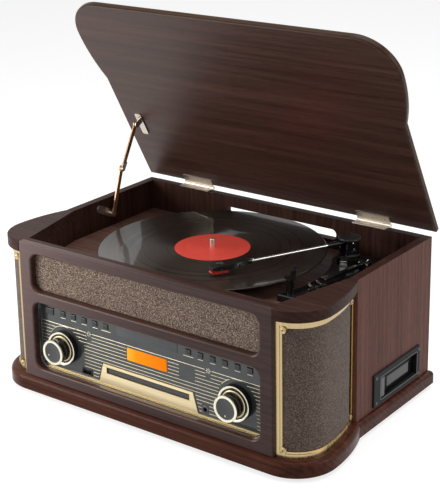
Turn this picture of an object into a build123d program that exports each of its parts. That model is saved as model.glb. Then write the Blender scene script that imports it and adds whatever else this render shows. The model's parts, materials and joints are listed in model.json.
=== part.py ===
from build123d import *
from math import cos, radians, sin
import os

# Stereo music centre: a wooden cabinet with a record player under a hinged lid, a radio and a
# slot CD player on the front, and a cassette bay in the right side.
# Millimetres, +X to the right, +Y to the back, +Z up. The origin is on the surface that the
# feet stand on, midway between the side panels, and midway between the front of the knobs and
# the ends of the rear sockets. Most pieces are drawn on planes that measure from the front of
# the fascia and from the top of the plinth.

# ---- cabinet
cabinet_depth = 314
cabinet_height = 188
body_width = 468            # across the side panels
fascia_width = 400
bulge_width = 498           # across the bulging front corners
corner_radius = 50
bulge_end = 130             # where the bulge meets the side panels, behind the fascia's front
board = 12
fascia_thickness = 10
plinth_height = 20
plinth_reach = 6            # how far the plinth stands proud of the crown
foot_height = 5
ear_thickness = 15
socket_reach = 11           # how far the rear sockets stand behind the rear panel

# ---- record well
well_depth = 43
well_front = 16.5
well_corner = 196           # half width of the well where its front corners are cut off
apron_back = 13
deck_thickness = 8

# ---- turntable
platter_x, platter_y = -12, 169
record_radius = 150.8
record_thickness = 2
record_top = 166.7          # above the plinth
mat_thickness = 2
spindle_radius = 3.55
running_clearance = 0.05

# ---- tonearm
pivot_x, pivot_y = 147, 253
arm_heading = 240.4         # degrees, from the pivot towards the stylus
arm_reach = 193
arm_axis_height = 182

# ---- lid
lid_thickness = 10
lid_reach = 4
lid_open = 61               # degrees
hinge_leaf = 1.2
hinge_gap = 0.15            # half the space between the closed leaves
hinge_x = 146
hinge_length = 51
pin_y = cabinet_depth + 3.2

# ---- front panel
window_half, window_corner = 180.5, 13
upper_window = (122.8, 174.5)
lower_window = (13.8, 107.6)
panel_depth = fascia_thickness + 4   # front face of the control panel
panel_thickness = 3
knob_x, knob_height = 138.8, 49.2
knob_reach = 11             # how far the knobs stand in front of the fascia
button_height = 95.2
button_pitch = 18.4
slot_half, slot_bottom, slot_top = 67, 31, 39

# ---- cassette bay, measured behind the fascia's front and above the plinth
bay_front, bay_rear = 168.5, 285.5
bay_bottom, bay_top = 3, 48
flap_front, flap_rear = 209.5, 274.5
flap_bottom, flap_top = 12, 30.5

front = -(cabinet_depth + socket_reach - knob_reach) / 2
base = foot_height + plinth_height
deck_top = cabinet_height - well_depth
side_inner = body_width / 2 - board
rear_inner = cabinet_depth - board

os.makedirs("parts", exist_ok=True)


def save(piece, name):
    """Labels a finished piece and writes it to its own STEP file."""
    piece.part.label = name
    export_step(piece.part, f"parts/{name}.step")


def plan(height):
    """Level plane: X to the right, Y behind the fascia's front, at a height above the plinth."""
    return Plane(origin=(0, front, base + height))


def facing(depth):
    """Upright plane parallel to the fascia and facing forwards, at a depth behind its front."""
    return Plane(origin=(0, front + depth, base), x_dir=(1, 0, 0), z_dir=(0, -1, 0))


def right_side(inset):
    """Upright plane facing right, inset from the right side panel: X to the back, Y up."""
    return Plane(origin=(body_width / 2 - inset, front, base), x_dir=(0, 1, 0), z_dir=(1, 0, 0))


def crown_outline(grow, rear_edge):
    """Plan of the crown, grown outwards: straight front, round corners, tapering sides."""
    widest = bulge_width / 2 + grow
    straight = body_width / 2 + grow
    corner_start = widest - corner_radius - grow
    with BuildSketch() as outline:
        with BuildLine():
            Line((0, -grow), (corner_start, -grow))
            TangentArc((corner_start, -grow), (widest, corner_radius), tangent=(1, 0))
            TangentArc((widest, corner_radius), (straight, bulge_end), tangent=(0, 1))
            Line((straight, bulge_end), (straight, rear_edge))
            Line((straight, rear_edge), (0, rear_edge))
            mirror(about=Plane.YZ)
        make_face()
    return outline.sketch


def well_outline():
    """Plan of the record well, with its two cut-off front corners."""
    with BuildSketch() as outline:
        with BuildLine():
            Polyline((0, well_front), (well_corner, well_front), (side_inner, bulge_end),
                     (side_inner, rear_inner), (0, rear_inner))
            mirror(about=Plane.YZ)
        make_face()
    return outline.sketch


def column_band(outer, inner, start_x, end_y):
    """Plan of a thin shell that follows the right speaker column, between two offsets."""
    with BuildSketch() as band:
        add(crown_outline(-outer, cabinet_depth))
        add(crown_outline(-inner, cabinet_depth), mode=Mode.SUBTRACT)
        with Locations((start_x, 0)):
            Rectangle(body_width, end_y, align=(Align.MIN, Align.MIN), mode=Mode.INTERSECT)
    return band.sketch


# ======================================================================== cabinet
# Plinth: one thick moulded board with a round-over along its top edge and vent slots.
with BuildPart() as plinth:
    with BuildSketch(plan(-plinth_height)):
        add(crown_outline(plinth_reach, cabinet_depth + 4))
    extrude(amount=plinth_height)
    fillet(plinth.faces().sort_by(Axis.Z)[-1].edges(), radius=7)
    chamfer(plinth.faces().sort_by(Axis.Z)[0].edges(), length=1)
    with BuildSketch(plan(0)):
        with Locations((0, 235)):
            with GridLocations(12, 0, 9, 1):
                SlotOverall(46, 4, rotation=90)
    extrude(amount=-plinth_height, mode=Mode.SUBTRACT)
save(plinth, "plinth")

# Feet: four tapered rubber feet.
with BuildPart() as feet:
    with BuildSketch(plan(-plinth_height - foot_height)):
        with Locations((0, cabinet_depth / 2)):
            with GridLocations(410, 250, 2, 2):
                Circle(10)
    extrude(amount=foot_height, taper=-12)
save(feet, "feet")

# Fascia: the front board, with two round-cornered windows whose front edges are rounded over.
with BuildPart() as fascia:
    with BuildSketch(facing(0)):
        with Locations((0, cabinet_height / 2)):
            Rectangle(fascia_width, cabinet_height)
        for bottom, window_top in (upper_window, lower_window):
            with Locations((0, (bottom + window_top) / 2)):
                RectangleRounded(2 * window_half, window_top - bottom, window_corner,
                                 mode=Mode.SUBTRACT)
    extrude(amount=-fascia_thickness)
    front_face = fascia.faces().sort_by(Axis.Y)[0]
    fillet(front_face.inner_wires().edges(), radius=3)
    fillet(fascia.faces().sort_by(Axis.Y)[0].outer_wire().edges().filter_by(Axis.Z), radius=2)
save(fascia, "fascia")

# Crown: one moulding with the two ears over the speaker columns, a rail behind the fascia's
# top edge and an apron that closes the front of the record well.
with BuildPart() as crown:
    with BuildSketch(plan(cabinet_height - ear_thickness)):
        add(crown_outline(0, cabinet_depth))
        with Locations((0, bulge_end)):
            Rectangle(2 * body_width, cabinet_depth, align=(Align.CENTER, Align.MIN),
                      mode=Mode.SUBTRACT)
        add(well_outline(), mode=Mode.SUBTRACT)
        Rectangle(fascia_width, 2 * fascia_thickness, mode=Mode.SUBTRACT)
        Rectangle(2 * well_corner - 20, 2 * apron_back, mode=Mode.SUBTRACT)
    extrude(amount=ear_thickness)
    rims = crown.edges().group_by(Axis.Z)[-1].filter_by(GeomType.CIRCLE)
    fillet(rims, radius=1.5)
    fillet(crown.edges().group_by(Axis.Z)[0].filter_by(GeomType.CIRCLE), radius=1.5)
    with BuildSketch(plan(deck_top - deck_thickness)):
        with Locations((0, (apron_back + well_front) / 2)):
            Rectangle(2 * well_corner, well_front - apron_back)
    extrude(amount=well_depth + deck_thickness)
    with BuildSketch(plan(upper_window[1] + 6)):
        with Locations((0, (fascia_thickness + well_front) / 2)):
            Rectangle(2 * well_corner, well_front - fascia_thickness)
    extrude(amount=cabinet_height - upper_window[1] - 6)
save(crown, "crown")

# Speaker baffles: two thin upright boards that cut off the well's front corners. Below the
# deck each one has the round hole of its speaker.
baffle_thickness = 4
wall_run = Vector(side_inner - well_corner, bulge_end - well_front)
wall_along = wall_run.normalized()
wall_outward = Vector(wall_along.Y, -wall_along.X)
baffle_rear = side_inner - wall_along.X / wall_along.Y
speaker_height = 66
speaker_hole = 34
baffle_middle = Vector(well_corner, well_front) + wall_run * 0.5 + wall_outward * baffle_thickness
speaker_plane = Plane(
    origin=(baffle_middle.X, front + baffle_middle.Y, base + speaker_height),
    x_dir=(wall_along.X, wall_along.Y, 0), z_dir=(wall_outward.X, wall_outward.Y, 0))
with BuildPart() as speaker_baffles:
    with BuildSketch(plan(0)):
        with BuildLine():
            Polyline((well_corner, fascia_thickness), (well_corner, well_front),
                     (baffle_rear, bulge_end - 1), (baffle_rear + baffle_thickness, bulge_end - 1),
                     (well_corner + baffle_thickness, well_front),
                     (well_corner + baffle_thickness, fascia_thickness), close=True)
        make_face()
    extrude(amount=cabinet_height - ear_thickness)
    with BuildSketch(speaker_plane):
        Circle(speaker_hole)
    extrude(amount=-20, both=True, mode=Mode.SUBTRACT)
    mirror(about=Plane.YZ)
save(speaker_baffles, "speaker_baffles")

# Side panels: plain boards; the right one has the cut-out of the cassette bay.
with BuildPart() as left_side_panel:
    with BuildSketch(plan(0)):
        with Locations((-body_width / 2, bulge_end)):
            Rectangle(board, cabinet_depth - bulge_end, align=(Align.MIN, Align.MIN))
    extrude(amount=cabinet_height)
    outer_edges = left_side_panel.edges().filter_by(Axis.Z).sort_by(Axis.X)[:2]
    fillet(outer_edges, radius=1)
save(left_side_panel, "left_side_panel")

with BuildPart() as right_side_panel:
    mirror(left_side_panel.part, about=Plane.YZ)
    with BuildSketch(right_side(0)):
        with Locations(((bay_front + bay_rear) / 2, (bay_bottom + bay_top) / 2)):
            Rectangle(bay_rear - bay_front - 12, bay_top - bay_bottom - 8)
    extrude(amount=-board, mode=Mode.SUBTRACT)
save(right_side_panel, "right_side_panel")

# Rear panel: fits between the side panels. The slot near its top lets the rim of a 12 inch
# record pass through; the cut-out below is covered by the socket plate.
record_slot_x, record_slot_width = 4, 184
record_slot_bottom, record_slot_top = 158, 172.5
plate_x, plate_height, plate_width, plate_tall = -110, 48, 150, 62
plate_thickness = 2
with BuildPart() as rear_panel:
    with BuildSketch(facing(rear_inner)):
        with Locations((0, cabinet_height / 2)):
            Rectangle(2 * side_inner, cabinet_height)
        with Locations((record_slot_x, (record_slot_bottom + record_slot_top) / 2)):
            SlotOverall(record_slot_width, record_slot_top - record_slot_bottom,
                        mode=Mode.SUBTRACT)
        with Locations((plate_x, plate_height)):
            Rectangle(plate_width - 16, plate_tall - 16, mode=Mode.SUBTRACT)
    extrude(amount=-board)
save(rear_panel, "rear_panel")

# Socket plate: black plate on the back with two line sockets, the aerial socket and the
# recessed two-pin mains inlet.
line_sockets = [(-40, 10), (-40, -10)]
aerial_socket = (0, 0)
mains_inlet = (42, 0)
inlet_depth = 14
plate_plane = Plane(origin=(plate_x, front + cabinet_depth, base + plate_height),
                    x_dir=(-1, 0, 0), z_dir=(0, 1, 0))
with BuildPart() as rear_socket_plate:
    with BuildSketch(plate_plane):
        RectangleRounded(plate_width, plate_tall, 4)
    extrude(amount=plate_thickness)
    with BuildSketch(plate_plane):
        with Locations(mains_inlet):
            SlotOverall(24, 14)
    extrude(amount=-inlet_depth - 2)
    with BuildSketch(plate_plane.offset(plate_thickness)):
        with Locations(mains_inlet):
            SlotOverall(20, 10)
    extrude(amount=-inlet_depth - plate_thickness, mode=Mode.SUBTRACT)
    with BuildSketch(plate_plane.offset(-inlet_depth)):
        with Locations(mains_inlet):
            with GridLocations(8.6, 0, 2, 1):
                Circle(1.2)
    extrude(amount=inlet_depth - 2)
    with BuildSketch(plate_plane.offset(plate_thickness)):
        with Locations(*line_sockets):
            Circle(4.2)
            Circle(1.7, mode=Mode.SUBTRACT)
        with Locations(aerial_socket):
            Circle(4.7)
            Circle(1.2, mode=Mode.SUBTRACT)
    extrude(amount=socket_reach - plate_thickness)
save(rear_socket_plate, "rear_socket_plate")

# Deck: the board that carries the turntable, with the bearing bush of the platter under it
# and a hole that the motor's shaft comes through.
motor_x, motor_y = platter_x - 62, platter_y + 62
bush_depth = 12
with BuildPart() as deck:
    with BuildSketch(plan(deck_top)):
        add(well_outline())
        with Locations((motor_x, motor_y)):
            Circle(8, mode=Mode.SUBTRACT)
    extrude(amount=-deck_thickness)
    with BuildSketch(plan(deck_top - deck_thickness)):
        with Locations((platter_x, platter_y)):
            Circle(9)
    extrude(amount=-bush_depth - 2)
    with BuildSketch(plan(deck_top)):
        with Locations((platter_x, platter_y)):
            Circle(4 + running_clearance)
    extrude(amount=-deck_thickness - bush_depth, mode=Mode.SUBTRACT)
save(deck, "deck")

# ======================================================================== speakers
# Speaker frames: curved gold frames that follow the columns, with a step down to the window
# and a screw boss in each corner.
frame_outer, frame_inner, frame_rail = 5, 8, 8.5
frame_step = 2.8                # width of the lower step round the frame's window
boss_size, rear_boss_inset = 4.2, 3.6
column_height = cabinet_height - ear_thickness
with BuildPart() as right_speaker_frame:
    with BuildSketch(plan(0)):
        add(column_band(frame_outer, frame_inner, fascia_width / 2, bulge_end))
    extrude(amount=column_height)
    with BuildSketch(plan(frame_rail)):
        add(column_band(frame_outer - 1, frame_inner + 1, fascia_width / 2 + frame_rail,
                        bulge_end - frame_rail))
    extrude(amount=column_height - 2 * frame_rail, mode=Mode.SUBTRACT)
    with BuildSketch(plan(frame_rail - frame_step)):
        add(column_band(frame_outer - 1, frame_outer + 1,
                        fascia_width / 2 + frame_rail - frame_step,
                        bulge_end - frame_rail + frame_step))
    extrude(amount=column_height - 2 * (frame_rail - frame_step), mode=Mode.SUBTRACT)
    for boss_height in (frame_rail + 2, column_height - frame_rail - 2):
        with BuildSketch(facing(frame_outer + 0.2)):
            with Locations((fascia_width / 2 + frame_rail + 2, boss_height)):
                Circle(boss_size)
        extrude(amount=frame_outer - frame_inner)
        with BuildSketch(right_side(rear_boss_inset)):
            with Locations((bulge_end - frame_rail + 0.5, boss_height)):
                Circle(boss_size)
        extrude(amount=-rear_boss_inset)
save(right_speaker_frame, "right_speaker_frame")

with BuildPart() as left_speaker_frame:
    mirror(right_speaker_frame.part, about=Plane.YZ)
save(left_speaker_frame, "left_speaker_frame")

# Speaker cloths: the curved boards, covered in woven cloth, that the frames hold.
with BuildPart() as speaker_cloths:
    with BuildSketch(plan(0)):
        add(column_band(frame_inner, frame_inner + 4, fascia_width / 2 + 0.5, bulge_end - 13))
    extrude(amount=column_height)
    mirror(about=Plane.YZ)
save(speaker_cloths, "speaker_cloths")

# Speakers: cone drivers on the outer faces of the baffles. Each is one revolved body with a
# magnet, a basket, a flange, a surround and a cone with its dust cap.
with BuildPart() as speakers:
    with BuildSketch(Plane(origin=speaker_plane.origin, x_dir=speaker_plane.x_dir,
                           z_dir=-speaker_plane.y_dir)):
        with BuildLine():
            Polyline((0, -7.4), (0, -38), (24, -38), (24, -26), (14, -26), (14, -20), (33, 0),
                     (39, 0), (39, 3), (31, 3))
            ThreePointArc((31, 3), (28.5, 5.5), (26, 2.5))
            Polyline((26, 2.5), (9, -12), (6, -9), (2, -7.6), (0, -7.4))
        make_face()
    revolve(axis=Axis(speaker_plane.origin, speaker_plane.z_dir))
    mirror(about=Plane.YZ)
save(speakers, "speakers")

# Front grille: the flat cloth-covered board behind the upper window.
with BuildPart() as front_grille:
    with BuildSketch(facing(fascia_thickness)):
        with Locations((0, (upper_window[0] + upper_window[1]) / 2)):
            Rectangle(2 * window_half + 9, upper_window[1] - upper_window[0] + 11)
    extrude(amount=fascia_thickness - apron_back)
save(front_grille, "front_grille")

# ======================================================================== front panel
first_button = 66.4              # from the middle to the nearest small button
power_button = (-164, 94)
left_buttons = [(-first_button - button_pitch * place, button_height) for place in range(4, -1, -1)]
right_buttons = [(first_button + button_pitch * place, button_height) for place in range(6)]
button_places = [power_button, *left_buttons, *right_buttons]
button_size, power_size = (8, 7), (15, 9)
display_size, display_height = (64, 17), 67
usb_place, jack_place = (-101.5, 23), (91, 25.2)
board_depth = 24

# Control panel: moulded panel behind the lower window, pierced for all that shows on it. A rim
# round it meets the back of the fascia.
with BuildPart() as control_panel:
    with BuildSketch(facing(panel_depth)):
        with Locations((0, (lower_window[0] + lower_window[1]) / 2)):
            Rectangle(2 * window_half + 9, lower_window[1] - lower_window[0] + 9)
        with Locations(*button_places[1:]):
            Rectangle(button_size[0] + 0.7, button_size[1] + 0.7, mode=Mode.SUBTRACT)
        with Locations(power_button):
            Rectangle(power_size[0] + 0.7, power_size[1] + 0.7, mode=Mode.SUBTRACT)
        with Locations((-knob_x, knob_height), (knob_x, knob_height)):
            Circle(4.5, mode=Mode.SUBTRACT)
        with Locations((0, display_height)):
            Rectangle(display_size[0] + 0.2, display_size[1] + 0.2, mode=Mode.SUBTRACT)
        with Locations((0, (slot_bottom + slot_top) / 2)):
            Rectangle(2 * slot_half, slot_top - slot_bottom, mode=Mode.SUBTRACT)
        with Locations(usb_place):
            Rectangle(14, 6.6, mode=Mode.SUBTRACT)
        with Locations(jack_place):
            Circle(3.4, mode=Mode.SUBTRACT)
    extrude(amount=-panel_thickness)
    with BuildSketch(facing(fascia_thickness)):
        with Locations((0, (lower_window[0] + lower_window[1]) / 2)):
            Rectangle(2 * window_half + 9, lower_window[1] - lower_window[0] + 9)
            RectangleRounded(2 * window_half, lower_window[1] - lower_window[0], window_corner,
                             mode=Mode.SUBTRACT)
    extrude(amount=fascia_thickness - panel_depth)
save(control_panel, "control_panel")

# CD trim: gold plate round the disc slot, in one piece with the bar below the panel and the
# ledge that runs forward from it.
trim_top, trim_foot, trim_bottom = 43.5, 17.2, 14
trim_thickness = 1.5
with BuildPart() as cd_trim:
    with BuildSketch(facing(panel_depth)):
        with BuildLine():
            Polyline((-72.5, trim_top), (72.5, trim_top), (80, trim_foot), (175.5, trim_foot),
                     (168.5, trim_bottom), (-168.5, trim_bottom), (-175.5, trim_foot),
                     (-80, trim_foot), close=True)
        make_face()
        with Locations((0, (slot_bottom + slot_top) / 2)):
            Rectangle(2 * slot_half, slot_top - slot_bottom, mode=Mode.SUBTRACT)
    extrude(amount=trim_thickness)
    chamfer(cd_trim.faces().sort_by(Axis.Y)[0].edges(), length=0.4)
    with BuildSketch(facing(panel_depth - trim_thickness)):
        with Locations((0, trim_bottom)):
            Rectangle(337, 1, align=(Align.CENTER, Align.MIN))
    extrude(amount=panel_depth - trim_thickness - fascia_thickness - 0.2)
save(cd_trim, "cd_trim")

# Display: the lit window with its module behind it.
with BuildPart() as display:
    with BuildSketch(facing(panel_depth - 0.5)):
        with Locations((0, display_height)):
            Rectangle(*display_size)
    extrude(amount=panel_depth - board_depth)
save(display, "display")

# Knobs: a broad base, a ring, a narrower barrel and a ringed cap with a sunken face, turned
# round a shaft that runs in the control behind the panel.
ring_depth, cap_depth = 4.6, -knob_reach
shaft_back = board_depth - 0.5
for knob_name, side in (("volume_knob", -1), ("tuning_knob", 1)):
    with BuildPart() as knob:
        with BuildSketch(Plane(origin=(side * knob_x, front, base + knob_height))):
            with BuildLine():
                Polyline((0, shaft_back), (3, shaft_back), (3, panel_depth - 0.3),
                         (23, panel_depth - 0.3),
                         (23, ring_depth + 1.2), (22, ring_depth), (20, ring_depth),
                         (20, ring_depth + 1.5), (15.8, ring_depth + 1.5),
                         (15.8, cap_depth + 3), (17, cap_depth + 2.5), (17, cap_depth + 0.6),
                         (16.4, cap_depth), (14, cap_depth), (13.6, cap_depth + 1.6),
                         (0, cap_depth + 1.2), close=True)
            make_face()
        revolve(axis=Axis((side * knob_x, front, base + knob_height), (0, 1, 0)))
    save(knob, knob_name)

# Push buttons: a cap that stands out of the panel, and a wider foot behind it.
cap_proud, button_gap = 1.5, 0.3
for number, place in enumerate(button_places, start=1):
    width, height = power_size if place == power_button else button_size
    with BuildPart() as button:
        with BuildSketch(facing(panel_depth - cap_proud)):
            with Locations(place):
                Rectangle(width, height)
        extrude(amount=-cap_proud - panel_thickness - button_gap - 1)
        chamfer(button.faces().sort_by(Axis.Y)[0].edges(), length=0.7)
        with BuildSketch(facing(panel_depth + panel_thickness + button_gap)):
            with Locations(place):
                Rectangle(width + 3, height + 3)
        extrude(amount=-1.2)
    save(button, f"button_{number}")

# Front board: circuit board with the button switches, the two knob controls and the USB and
# headphone sockets; it is cut away round the disc slot.
with BuildPart() as front_board:
    with BuildSketch(facing(board_depth)):
        with Locations((0, 64)):
            Rectangle(352, 96)
        with Locations((0, 20)):
            Rectangle(156, 58, mode=Mode.SUBTRACT)
    extrude(amount=-1.6)
    with BuildSketch(facing(board_depth)):
        with Locations(*button_places):
            Rectangle(6, 6)
    extrude(amount=board_depth - panel_depth - panel_thickness - 3)
    with BuildSketch(facing(board_depth)):
        with Locations((-knob_x, knob_height), (knob_x, knob_height)):
            Circle(7)
            Circle(3 + running_clearance, mode=Mode.SUBTRACT)
    extrude(amount=board_depth - panel_depth - panel_thickness)
    with BuildSketch(facing(board_depth)):
        with Locations(usb_place):
            Rectangle(13.2, 5.8)
    extrude(amount=board_depth - panel_depth)
    with BuildSketch(facing(panel_depth)):
        with Locations(usb_place):
            Rectangle(12, 4.6)
            with Locations((0, 0.9)):
                Rectangle(10, 1.4, mode=Mode.SUBTRACT)
    extrude(amount=-8.5, mode=Mode.SUBTRACT)
    with BuildSketch(facing(board_depth)):
        with Locations(jack_place):
            Circle(3.1)
    extrude(amount=board_depth - panel_depth + 0.5)
    with BuildSketch(facing(panel_depth - 0.5)):
        with Locations(jack_place):
            Circle(1.8)
    extrude(amount=-9.5, mode=Mode.SUBTRACT)
save(front_board, "front_board")

# CD mechanism: slot loader with the disc's space open at the front, on four legs.
loader_half, loader_front, loader_rear = 73, 18, 166
with BuildPart() as cd_mechanism:
    with BuildSketch(plan(24)):
        with Locations((0, (loader_front + loader_rear) / 2)):
            RectangleRounded(2 * loader_half, loader_rear - loader_front, 4)
    extrude(amount=24)
    with BuildSketch(plan(slot_bottom)):
        with Locations((0, loader_front - 1)):
            Rectangle(2 * slot_half - 2, 142, align=(Align.CENTER, Align.MIN))
    extrude(amount=slot_top - slot_bottom, mode=Mode.SUBTRACT)
    with BuildSketch(plan(0)):
        with Locations((0, (loader_front + loader_rear) / 2)):
            with GridLocations(2 * loader_half - 16, loader_rear - loader_front - 20, 2, 2):
                Circle(5)
    extrude(amount=24)
save(cd_mechanism, "cd_mechanism")

# ======================================================================== cassette bay
pocket_floor = 3            # behind the side panel's outer face
bezel_back = 8
bay_middle = ((bay_front + bay_rear) / 2, (bay_bottom + bay_top) / 2)
flap_middle = ((flap_front + flap_rear) / 2, (flap_bottom + flap_top) / 2)
hinge_inset, hinge_height = 4.6, flap_top - 1.5
eject_middle, eject_size = (192.7, 23.5), (9.5, 27)

# Bezel: a face plate with a sunken pocket; the flap's window and the eject button's hole go
# through the floor of the pocket.
with BuildPart() as cassette_bezel:
    with BuildSketch(right_side(0)):
        with Locations(bay_middle):
            RectangleRounded(bay_rear - bay_front, bay_top - bay_bottom, 2)
    extrude(amount=2.5)
    chamfer(cassette_bezel.faces().sort_by(Axis.X)[-1].edges(), length=0.8)
    with BuildSketch(right_side(0)):
        with Locations((231, 25)):
            Rectangle(96, 34)
    extrude(amount=-bezel_back)
    with BuildSketch(right_side(-3)):
        with Locations((231, 25)):
            RectangleRounded(92, 30, 1.5)
    extrude(amount=-3 - pocket_floor, mode=Mode.SUBTRACT)
    with BuildSketch(right_side(0)):
        with Locations(flap_middle):
            Rectangle(flap_rear - flap_front, flap_top - flap_bottom)
        with Locations(eject_middle):
            Rectangle(eject_size[0] + 0.7, eject_size[1] + 0.7)
    extrude(amount=-bezel_back, mode=Mode.SUBTRACT)
    with BuildSketch(Plane(origin=(body_width / 2 - hinge_inset, front, base + hinge_height),
                           x_dir=(1, 0, 0), z_dir=(0, 1, 0)).offset(flap_front - 1.8)):
        Circle(0.9 + running_clearance)
    extrude(amount=flap_rear - flap_front + 3.6, mode=Mode.SUBTRACT)
save(cassette_bezel, "cassette_bezel")

# Flap: closes the window and swings inwards about two stub pins at its top edge.
with BuildPart() as cassette_flap:
    with BuildSketch(right_side(hinge_inset - 0.8)):
        with Locations((flap_middle[0], (hinge_height + 0.8 + flap_bottom + 0.4) / 2)):
            Rectangle(flap_rear - flap_front - 0.8, hinge_height + 0.8 - flap_bottom - 0.4)
    extrude(amount=-1.6)
    with BuildSketch(Plane(origin=(body_width / 2 - hinge_inset, front, base + hinge_height),
                           x_dir=(1, 0, 0), z_dir=(0, 1, 0)).offset(flap_front - 1.5)):
        Circle(0.9)
    extrude(amount=flap_rear - flap_front + 3)
save(cassette_flap, "cassette_flap")

# Eject button: tall button in the pocket, with a flange behind the bezel.
with BuildPart() as eject_button:
    with BuildSketch(right_side(-1)):
        with Locations(eject_middle):
            Rectangle(*eject_size)
    extrude(amount=-1 - bezel_back - 1)
    chamfer(eject_button.faces().sort_by(Axis.X)[-1].edges(), length=0.8)
    with BuildSketch(right_side(bezel_back + 0.4)):
        with Locations(eject_middle):
            Rectangle(eject_size[0] + 3, eject_size[1] + 3)
    extrude(amount=-1)
save(eject_button, "eject_button")

# Cassette mechanism: a block with the cassette's tunnel, and two flywheels on top of it.
tunnel_margin = 1
with BuildPart() as cassette_mechanism:
    with BuildSketch(right_side(board + 1.5)):
        with Locations((229, 23)):
            Rectangle(105, 46)
    extrude(amount=-108)
    with BuildSketch(right_side(board)):
        with Locations(flap_middle):
            Rectangle(flap_rear - flap_front + 2 * tunnel_margin,
                      flap_top - flap_bottom + 2 * tunnel_margin)
    extrude(amount=-104, mode=Mode.SUBTRACT)
    with BuildSketch(plan(46)):
        with Locations((150, 215), (150, 255)):
            Circle(14)
    extrude(amount=5)
save(cassette_mechanism, "cassette_mechanism")

# ======================================================================== power and drive
# Power transformer: laminated core on a footed base, with the coil showing on both sides.
with BuildPart() as power_transformer:
    with BuildSketch(plan(0)):
        with Locations((-165, 245)):
            Rectangle(72, 40)
    extrude(amount=2)
    with BuildSketch(plan(2)):
        with Locations((-165, 245)):
            Rectangle(54, 28)
    extrude(amount=45)
    with BuildSketch(plan(10)):
        with Locations((-165, 245)):
            RectangleRounded(34, 48, 5)
    extrude(amount=29)
save(power_transformer, "power_transformer")

# Motor: hangs below the deck by its top plate, which has two lugs.
motor_radius, motor_height = 17, 26
with BuildPart() as turntable_motor:
    with BuildSketch(plan(deck_top - deck_thickness)):
        with Locations((motor_x, motor_y)):
            SlotOverall(54, 16)
            Circle(motor_radius)
    extrude(amount=-2)
    with BuildSketch(plan(deck_top - deck_thickness - 2)):
        with Locations((motor_x, motor_y)):
            Circle(motor_radius)
    extrude(amount=-motor_height)
    with BuildSketch(plan(deck_top - deck_thickness)):
        with Locations((motor_x, motor_y)):
            Circle(1 + running_clearance)
    extrude(amount=-motor_height, mode=Mode.SUBTRACT)
save(turntable_motor, "turntable_motor")

# Motor pulley: flanged pulley on its shaft.
belt_bottom, belt_width = 150, 4
pulley_radius, drive_ring_radius = 5, 75
with BuildPart() as motor_pulley:
    with BuildSketch(Plane(origin=(motor_x, front + motor_y, base), x_dir=(1, 0, 0),
                           z_dir=(0, -1, 0))):
        with BuildLine():
            Polyline((0, deck_top - 30), (1, deck_top - 30), (1, belt_bottom - 3),
                     (6.5, belt_bottom - 3), (6.5, belt_bottom - 1),
                     (pulley_radius, belt_bottom - 0.5),
                     (pulley_radius, belt_bottom + belt_width + 0.5),
                     (6.5, belt_bottom + belt_width + 1), (6.5, belt_bottom + belt_width + 2.5),
                     (0, belt_bottom + belt_width + 2.5), close=True)
        make_face()
    revolve(axis=Axis((motor_x, front + motor_y, base), (0, 0, 1)))
save(motor_pulley, "motor_pulley")

# Drive belt: flat rubber belt round the pulley and the ring under the platter.
with BuildPart() as drive_belt:
    for belt_offset, belt_mode in ((1.3, Mode.ADD), (0.3, Mode.SUBTRACT)):
        with BuildSketch(plan(belt_bottom)):
            with BuildLine():
                CenterArc((motor_x, motor_y), pulley_radius + belt_offset, 0, 360)
                CenterArc((platter_x, platter_y), drive_ring_radius + belt_offset, 0, 360)
            make_hull()
        extrude(amount=belt_width, mode=belt_mode)
save(drive_belt, "drive_belt")

# ======================================================================== turntable
platter_axis = Axis((platter_x, front + platter_y, base), (0, 0, 1))
platter_section = Plane(origin=(platter_x, front + platter_y, base), x_dir=(1, 0, 0),
                        z_dir=(0, -1, 0))
record_bottom = record_top - record_thickness
platter_top = record_bottom - mat_thickness
shaft_end = deck_top - deck_thickness - bush_depth + running_clearance

# Platter: turned dish with a skirt, the ring that the belt drives, and the spindle, whose
# lower end runs in the deck's bush.
with BuildPart() as platter:
    with BuildSketch(platter_section):
        with BuildLine():
            Polyline((0, shaft_end), (4, shaft_end), (4, deck_top + 1),
                     (11, deck_top + 1), (13, platter_top - 3), (72, platter_top - 3),
                     (72, belt_bottom - 1), (drive_ring_radius, belt_bottom - 1),
                     (drive_ring_radius, platter_top - 3), (96, platter_top - 3),
                     (96.5, deck_top + 4), (99, deck_top + 4), (100, platter_top - 1.5),
                     (98.5, platter_top), (spindle_radius, platter_top),
                     (spindle_radius, record_top + 9))
            Spline((spindle_radius, record_top + 9), (2.4, record_top + 11.5),
                   (0, record_top + 12.5), tangents=((0, 1), (-1, 0)))
            Line((0, record_top + 12.5), (0, shaft_end))
        make_face()
    revolve(axis=platter_axis)
save(platter, "platter")

with BuildPart() as slip_mat:
    with BuildSketch(plan(platter_top)):
        with Locations((platter_x, platter_y)):
            Circle(97)
            Circle(spindle_radius + 0.1, mode=Mode.SUBTRACT)
    extrude(amount=mat_thickness)
save(slip_mat, "slip_mat")

# Record: a 12 inch disc with a raised rim and a raised label, thinner where it is grooved.
label_radius, groove_sink = 50, 0.2
with BuildPart() as record:
    with BuildSketch(platter_section):
        with BuildLine():
            Polyline((spindle_radius + 0.1, record_bottom), (record_radius - 0.8, record_bottom),
                     (record_radius, record_bottom + 0.8), (record_radius, record_top - 0.8),
                     (record_radius - 0.8, record_top), (record_radius - 2.5, record_top),
                     (record_radius - 4, record_top - groove_sink),
                     (label_radius + 2, record_top - groove_sink),
                     (label_radius + 0.6, record_top), (spindle_radius + 0.1, record_top),
                     close=True)
        make_face()
    revolve(axis=platter_axis)
save(record, "record")

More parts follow.
